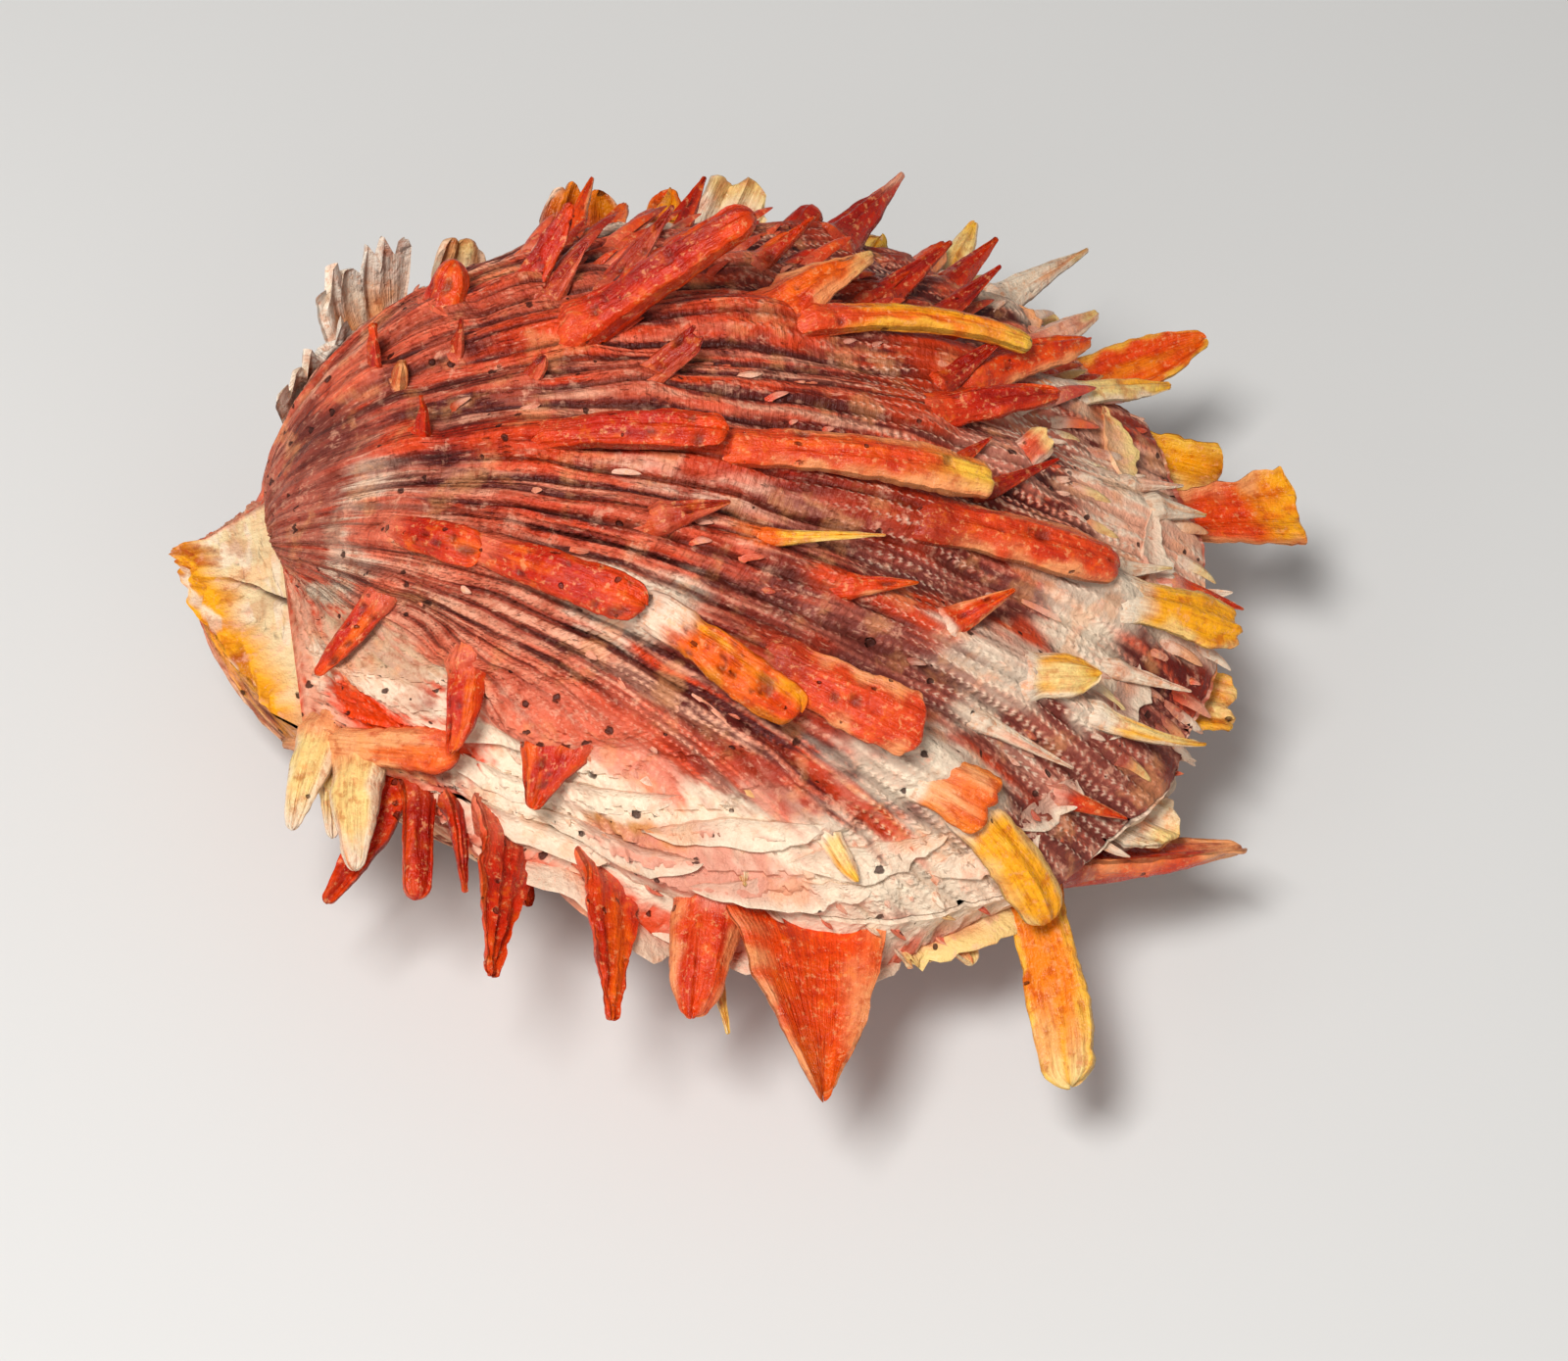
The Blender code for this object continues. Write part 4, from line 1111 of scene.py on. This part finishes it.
def plates(valve, table, plate_rows):
    """Thin ragged plates at which the valve's margin once ended."""
    piece = Piece(valve["name"] + "_plates")
    for i, (first, last, age, reach, rise, look, spike) in enumerate(plate_rows):
        wide = math.radians(last - first) * margin_reach((first + last) / 2) * age / MM
        columns = 2 * max(12, int(wide / 0.4))
        u, v = ring(columns)
        v = np.sign(v) * np.abs(v) ** 0.3
        angle = (first + last) / 2 + (last - first) / 2 * u
        place = np.full(columns, age)
        base, along, normal = frames_at(valve, angle, place)
        base = base + normal * relief(valve, table, angle, place)[:, None]
        t = PLATE_SHARES
        seed = 900 + 11 * i
        ragged = rough_noise(seed, u * wide * 0.22, valve["side"])
        ragged = ragged + 0.5 * noise(seed + 3, u * wide * 0.8, 0.5)
        tall = (1 - np.abs(u) ** 2.5) * (0.8 + 0.3 * ragged)
        spiked = spike * np.maximum(noise(seed + 5, u * wide * 0.28, 1.5), 0) ** 1.5 * 2.2 * (1 - u**2)
        out = (0.75 * reach * tall[None] * t + spiked[None] * smooth(0.5, 1.0, t)) * MM
        flutter = 0.35 * noise(seed + 7, u[None] * wide * 0.16, t * 1.2)
        up = (rise * (1 + flutter) * t**2 * np.sqrt(np.maximum(tall, 0))[None] - 0.35) * MM
        thin = PLATE_THICKNESS * PLATE_ENDS * v[None] / 2
        rows = base[None] + along[None] * out[..., None] + normal[None] * (up + thin)[..., None]
        own = wandering(angle, place)
        crest, ground = skin_colours(valve, table, angle, place)
        patchy = t + 0.2 * noise(seed + 9, u[None] * wide * 0.5, t * 2)
        toward = (0.35 + 0.6 * smooth(0.2, 0.9, patchy))[..., None]
        tint = crest[None] + (linear(look) - crest[None]) * toward
        between = ground[None] + (linear(look) * 0.75 - ground[None]) * toward
        grain = stacked(own[None], age * GROWTH_PATH / MM + t * reach, age)
        wear = np.broadcast_to(PLATE_WEAR, grain.shape)
        piece.add_tube(rows, tint, between, grain, wear)
    return piece.object()


def prickles(valve, table, groups):
    """Small spines on the riblets, in groups of their own sizes and colours."""
    rng = np.random.default_rng(PRICKLE_SEED)
    piece = Piece(valve["name"] + "_prickles")
    rows = []
    for count, angles, ages, lengths, lifts, own, names in groups:
        made = 0
        while made < count:
            age = float(ages[0] + (ages[1] - ages[0]) * rng.random() ** 0.8)
            angle = round(float(rng.uniform(*angles)) / CORD_STEP * 2) * CORD_STEP / 2
            size, lift, turn, pick = rng.random(4)
            if min(root_distance(row, angle, age) for row in table) < 0.8:
                continue
            length = lengths[0] + (lengths[1] - lengths[0]) * size**1.6
            colour = linear(names[int(pick * len(names))])
            width = 0.5 + 0.24 * length
            tilt = lifts[0] + (lifts[1] - lifts[0]) * lift
            fanned = 20 * turn - 6 + 0.3 * angle
            rows.append((angle, age, length, width, tilt, fanned, own, colour))
            made += 1
    places = np.array([row[:2] for row in rows])
    crests = skin_colours(valve, table, places[:, 0], places[:, 1])[0]
    for i, (row, crest) in enumerate(zip(rows, crests)):
        prickle_tube(piece, valve, row, crest, 3000 + i)
    return piece.object()


def prickle_tube(piece, valve, row, crest, seed):
    """A small pointed, hollowed scale."""
    angle, age, length, width, lift, turn, own, colour = row
    base, along, normal = frames_at(valve, angle, age)
    base = base + normal * float(ribs(angle, age) + ridges(valve, angle, age))
    heading, sideways = turned(valve, along, normal, turn)
    t = PRICKLE_SHARES
    wide = PRICKLE_WIDTHS * width * MM
    wide = wide * (1 + 0.12 * noise(seed, t * 4, 0.5))
    tilt = np.radians(lift - 14 * t)[:, None]
    direction = heading * np.cos(tilt) + normal * np.sin(tilt)
    upward = normal * np.cos(tilt) - heading * np.sin(tilt)
    u, v = ring(PRICKLE_COLUMNS)
    v = v * np.where(v > 0, 1, 0.4) * 0.5
    rows = (
        base
        + (direction * (t * length * MM)[:, None])[:, None]
        + sideways * (wide[:, None] / 2 * u[None])[..., None]
        + upward[:, None] * (wide[:, None] / 2 * (v - 0.3 * u**2)[None])[..., None]
    )
    pale = crest + (colour - crest) * own
    share = smooth(-0.1, 0.5, t)[:, None, None] * np.ones((1, len(u), 1))
    tint = crest + (pale - crest) * share
    grain = stacked(u[None] * 0.5, t[:, None] * length, float(seed))
    wear = np.zeros(grain.shape)
    piece.add_tube(rows, tint, tint * PRICKLE_SHADE, grain, wear)


def lower_filler():
    """Two staggered rows of short blades round the underside of the lower valve."""
    rows = []
    for i, angle in enumerate(range(-50, 80, 13)):
        age = 0.73 + 0.1 * (i % 2)
        look = ("fire", "blush", "pink_red", "cream")[i % 4]
        rows.append((angle, age, 7 + i % 3, 4.5, 38, 0, 10, 0, "blade", look))
    return tuple(rows)


class Tree:
    """Short ways to add nodes to a material."""

    def __init__(self, name):
        self.material = bpy.data.materials.new(name)
        self.material.use_nodes = True
        self.tree = self.material.node_tree
        self.shader = self.tree.nodes["Principled BSDF"]

    def set(self, socket, value):
        if isinstance(value, bpy.types.NodeSocket):
            self.tree.links.new(value, socket)
        else:
            socket.default_value = value

    def node(self, kind, **settings):
        made = self.tree.nodes.new(kind)
        for key, value in settings.items():
            setattr(made, key, value)
        return made

    def math(self, operation, a, b=0.0, c=0.0):
        made = self.node("ShaderNodeMath", operation=operation)
        for socket, value in zip(made.inputs, (a, b, c)):
            self.set(socket, value)
        return made.outputs[0]

    def times(self, a, b):
        return self.math("MULTIPLY", a, b)

    def times_plus(self, a, b, c):
        return self.math("MULTIPLY_ADD", a, b, c)

    def ramp(self, value, low, high, start=0.0, end=1.0):
        made = self.node("ShaderNodeMapRange", interpolation_type="SMOOTHSTEP")
        given = {"Value": value, "From Min": low, "From Max": high, "To Min": start, "To Max": end}
        for key, part in given.items():
            self.set(made.inputs[key], part)
        return made.outputs["Result"]

    def mix(self, share, a, b, kind="MIX"):
        made = self.node("ShaderNodeMix", data_type="RGBA", blend_type=kind)
        self.set(made.inputs[0], share)
        self.set(made.inputs[6], a)
        self.set(made.inputs[7], b)
        return made.outputs[2]

    def attribute(self, name, output):
        made = self.node("ShaderNodeAttribute", attribute_name=name)
        return made.outputs[output]

    def split(self, vector):
        made = self.node("ShaderNodeSeparateXYZ")
        self.set(made.inputs[0], vector)
        return made.outputs

    def join(self, x, y, z):
        made = self.node("ShaderNodeCombineXYZ")
        for socket, value in zip(made.inputs, (x, y, z)):
            self.set(socket, value)
        return made.outputs[0]

    def noise(self, vector, scale, detail=2.0, rough=0.5):
        made = self.node("ShaderNodeTexNoise")
        self.set(made.inputs["Vector"], vector)
        made.inputs["Scale"].default_value = scale
        made.inputs["Detail"].default_value = detail
        made.inputs["Roughness"].default_value = rough
        return made.outputs[0]

    def fibres(self, across, across_step, along, along_step, third, detail, rough=0.5):
        """Noise drawn out along the growth, with this many bumps for each unit across and along."""
        place = self.join(self.times(across, across_step), self.times(along, along_step), third)
        return self.noise(place, 1.0, detail, rough)

    def pores(self, place, per_metre, radius, share):
        """1 inside small round holes, which only a share of the cells hold."""
        made = self.node("ShaderNodeTexVoronoi")
        self.set(made.inputs["Vector"], place)
        made.inputs["Scale"].default_value = per_metre
        chosen = self.split(made.outputs["Color"])
        size = self.times_plus(chosen[1], radius, 0.4 * radius)
        hole = self.ramp(self.math("DIVIDE", made.outputs["Distance"], size), 1.0, 0.6)
        there = self.math("LESS_THAN", chosen[0], share)
        return self.times(hole, there)

    def jittered(self, place, per_metre, reach):
        """Places moved about, so that round marks come out uneven."""
        made = self.node("ShaderNodeTexNoise")
        self.set(made.inputs["Vector"], place)
        made.inputs["Scale"].default_value = per_metre
        moved = self.node("ShaderNodeVectorMath", operation="MULTIPLY_ADD")
        self.set(moved.inputs[0], made.outputs["Color"])
        moved.inputs[1].default_value = (reach, reach, reach)
        self.set(moved.inputs[2], place)
        return moved.outputs[0]

    def bump(self, *parts):
        """Raises the surface by the sum of some values, each times its own height in mm."""
        height_mm = 0.0
        for value, rise in parts:
            height_mm = self.times_plus(value, rise, height_mm)
        made = self.node("ShaderNodeBump")
        made.inputs["Strength"].default_value = 1.0
        made.inputs["Distance"].default_value = MM
        self.set(made.inputs["Height"], height_mm)
        self.set(self.shader.inputs["Normal"], made.outputs[0])


# What a stain leaves of the red, green and blue of the shell under it, on the skins and on the spines.
STAIN = (0.68, 0.4, 0.31, 1)
SPINE_STAIN = (0.72, 0.36, 0.22, 1)


def paint(name, amount=1.0):
    """A named colour as a node's colour socket takes it."""
    return (*(linear(name) * amount), 1)


def skin_material():
    """Beaded riblets over a darker ground, chalky where worn, with cracks and small borings; the grooves get
    painted shade and the pale crest scratches are partly painted highlights.
    """
    m = Tree("ribbed_shell")
    place = m.node("ShaderNodeTexCoord").outputs["Object"]
    angle, along, age = m.split(m.attribute("grain", "Vector"))
    worn_here, pore, open_share = m.split(m.attribute("wear", "Vector"))
    streaks = m.fibres(angle, 1.6, along, 0.14, 0.0, 3.0)
    phase = m.times_plus(streaks, 0.5, angle)
    wave = m.math("COSINE", m.times(phase, 2 * math.pi / BEAD_STEP))
    riblet = m.times_plus(wave, 0.5, 0.5)
    own = m.math("FLOOR", m.times(phase, 1 / BEAD_STEP))
    shift = m.times_plus(streaks, 9.0, m.times(own, 1.7))
    bead = m.math("COSINE", m.times_plus(along, 2 * math.pi / BEAD_LENGTH, shift))
    bead = m.times_plus(bead, 0.5, 0.5)
    beads = m.times_plus(bead, m.ramp(m.noise(place, 60.0), 0.35, 0.6, 0.15, 0.75), 0.25)
    crest = m.times(riblet, beads)
    unworn = m.math("SUBTRACT", 1.0, worn_here)
    # The darker ground shows between the beads and in the cords' grooves: partly the shell's own colour,
    # partly painted shade.
    from_beads = m.times(crest, m.ramp(age, 0.48, 0.74, 0.2, 0.85))
    depth = m.times_plus(open_share, m.ramp(age, 0.48, 0.74, 0.85, 0.42), from_beads)
    depth = m.math("ADD", depth, m.times_plus(streaks, 0.8, -0.4))
    mask = m.math("MAXIMUM", m.ramp(depth, 0.32, 0.9), m.times(worn_here, 0.85))
    colour = m.mix(mask, m.attribute("ground", "Color"), m.attribute("tint", "Color"))
    mottle = m.noise(place, 460.0, 5.0, 0.65)
    scratches_and_highlights = m.fibres(angle, 2.6, along, 0.5, 7.0, 4.0, 0.6)
    # Pale blush scratches along the cords: rubbed crests, partly painted highlights; the low end of the same
    # noise draws the cracks.
    colour = m.mix(m.ramp(scratches_and_highlights, 0.57, 0.7, 0.0, 0.55), colour, paint("blush"))
    blotch = m.noise(place, 200.0, 4.0, 0.6)
    stained = m.ramp(age, 0.45, 0.85, 0.65, 0.2)
    colour = m.mix(m.ramp(blotch, 0.53, 0.66, 0.0, 0.35), colour, paint("peach"))
    colour = m.mix(m.times(m.ramp(blotch, 0.48, 0.36), stained), colour, STAIN, "MULTIPLY")
    colour = m.mix(m.ramp(mottle, 0.56, 0.68, 0.0, 0.5), colour, paint("blush"))
    beaded = m.times(unworn, m.ramp(age, 0.5, 0.7, 0.0, 0.45))
    colour = m.mix(m.times(m.ramp(crest, 0.5, 0.9), beaded), colour, paint("cream"))
    colour = m.mix(m.times(m.ramp(mottle, 0.47, 0.36), stained), colour, STAIN, "MULTIPLY")
    cracked = m.times(stained, m.times_plus(unworn, 0.7, 0.15))
    crack = m.times(m.ramp(scratches_and_highlights, 0.4, 0.31), cracked)
    # Umber in the cords' grooves is painted shade; in the cracks it is real.
    groove_shade = m.times(m.ramp(open_share, 0.36, 0.08), m.times(unworn, stained))
    colour = m.mix(m.math("MAXIMUM", crack, groove_shade), colour, paint("umber"))
    rings = m.fibres(angle, 0.35, along, 1.7, 3.0, 3.0, 0.6)
    ringed = m.times(unworn, m.ramp(age, 0.5, 0.8, 0.6, 0.15))
    colour = m.mix(m.times(m.ramp(rings, 0.45, 0.34), ringed), colour, STAIN, "MULTIPLY")
    uneven = m.jittered(place, 900.0, 0.0011)
    holes = m.pores(uneven, 480.0, 0.2, m.times(pore, 0.6))
    colour = m.mix(m.times(holes, 0.9), colour, paint("umber"))
    m.set(m.shader.inputs["Base Color"], colour)
    m.set(m.shader.inputs["Roughness"], m.ramp(mottle, 0.3, 0.75, 0.36, 0.6))
    m.shader.inputs["Specular IOR Level"].default_value = 0.22
    grainy = m.noise(place, 1500.0, 3.0, 0.6)
    m.bump(
        (m.times(crest, unworn), 0.24),
        (mottle, 0.6),
        (grainy, 0.1),
        (crack, -0.25),
        (m.times(rings, ringed), 0.7),
        (holes, -0.4),
    )
    return m.material


def spine_material():
    """Glossy fibrous shell: streaks along the spine, pale flecks and borings."""
    m = Tree("spine_shell")
    place = m.node("ShaderNodeTexCoord").outputs["Object"]
    across, along, number = m.split(m.attribute("grain", "Vector"))
    _, bored, pit = m.split(m.attribute("wear", "Vector"))
    streaks = m.fibres(across, 2.4, along, 0.22, number, 4.0, 0.6)
    mottle = m.noise(place, 620.0, 5.0, 0.65)
    blotch = m.noise(place, 210.0, 3.0, 0.6)
    shade = m.math("ADD", m.times(streaks, 0.6), m.times(mottle, 0.4))
    colour = m.mix(m.ramp(shade, 0.4, 0.56), m.attribute("ground", "Color"), m.attribute("tint", "Color"))
    colour = m.mix(0.6, m.attribute("tint", "Color"), colour)
    colour = m.mix(m.ramp(blotch, 0.55, 0.7, 0.0, 0.3), colour, paint("orange"))
    colour = m.mix(m.ramp(mottle, 0.56, 0.66, 0.0, 0.25), colour, paint("tangerine"))
    rubbed = m.noise(place, 1300.0, 4.0, 0.7)
    colour = m.mix(m.ramp(rubbed, 0.56, 0.64, 0.0, 0.5), colour, paint("peach"))
    colour = m.mix(m.ramp(mottle, 0.46, 0.36, 0.0, 0.5), colour, SPINE_STAIN, "MULTIPLY")
    small = m.pores(m.jittered(place, 900.0, 0.001), 560.0, 0.2, m.times_plus(bored, 0.4, 0.05))
    hole = m.math("MAXIMUM", small, m.times(pit, 0.9))
    colour = m.mix(m.times(hole, 0.75), colour, paint("umber", 1.3))
    m.set(m.shader.inputs["Base Color"], colour)
    m.set(m.shader.inputs["Roughness"], m.ramp(mottle, 0.3, 0.75, 0.17, 0.38))
    m.shader.inputs["Specular IOR Level"].default_value = 0.32
    grainy = m.noise(place, 1700.0, 3.0, 0.6)
    m.bump((streaks, 0.34), (mottle, 0.42), (grainy, 0.06), (small, -0.35))
    return m.material


def floor():
    bpy.ops.mesh.primitive_plane_add(size=FLOOR_SIZE)
    made = bpy.context.object
    made.name = "floor"
    m = Tree("floor_paper")
    m.shader.inputs["Base Color"].default_value = FLOOR_COLOUR
    m.shader.inputs["Roughness"].default_value = 0.9
    made.data.materials.append(m.material)


def light(name, place, aim, size, power):
    data = bpy.data.lights.new(name, "AREA")
    data.size = size
    data.energy = power
    made = bpy.data.objects.new(name, data)
    made.location = place
    made.rotation_euler = (Vector(aim) - Vector(place)).to_track_quat("-Z", "Y").to_euler()
    bpy.context.scene.collection.objects.link(made)


def lights():
    for row in LIGHTS:
        light(*row)
    world = bpy.data.worlds.new("studio")
    world.use_nodes = True
    background = world.node_tree.nodes["Background"]
    background.inputs["Color"].default_value = (1, 1, 1, 1)
    background.inputs["Strength"].default_value = WORLD_LIGHT
    bpy.context.scene.world = world


def camera():
    azimuth = math.radians(CAMERA_AZIMUTH)
    elevation = math.radians(CAMERA_ELEVATION)
    roll = math.radians(CAMERA_ROLL)
    back = Vector(
        (
            math.sin(azimuth) * math.cos(elevation),
            -math.cos(azimuth) * math.cos(elevation),
            math.sin(elevation),
        )
    )
    level = Vector((0, 0, 1)).cross(back).normalized()
    rise = back.cross(level)
    right = level * math.cos(roll) + rise * math.sin(roll)
    up = rise * math.cos(roll) - level * math.sin(roll)
    place = Vector(CAMERA_AIM + HINGE_AT) + back * CAMERA_DISTANCE
    data = bpy.data.cameras.new("camera")
    data.lens = CAMERA_LENS
    data.sensor_width = CAMERA_SENSOR
    data.sensor_fit = "HORIZONTAL"
    data.clip_start = 0.01
    made = bpy.data.objects.new("camera", data)
    made.matrix_world = Matrix.Translation(place) @ Matrix((right, up, back)).transposed().to_4x4()
    bpy.context.scene.collection.objects.link(made)
    bpy.context.scene.camera = made


def main():
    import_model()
    ribbed = skin_material()
    fibrous = spine_material()
    for valve, rows, plate_rows, groups in (
        (UPPER, UPPER_SPINES, UPPER_PLATES, UPPER_PRICKLES),
        (LOWER, LOWER_SPINES + lower_filler(), LOWER_PLATES, LOWER_PRICKLES),
    ):
        table = [Spine(*row) for row in rows]
        node = valve["name"] + "_valve"
        made = (
            (skin(valve, table), ribbed),
            (plates(valve, table, plate_rows), ribbed),
            (spines(valve, table), fibrous),
            (prickles(valve, table, groups), fibrous),
        )
        for piece, material in made:
            piece.data.materials.append(material)
            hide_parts(node)
            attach(piece, "root")
    floor()
    lights()
    camera()
    bpy.context.scene.view_settings.view_transform = "Standard"


main()
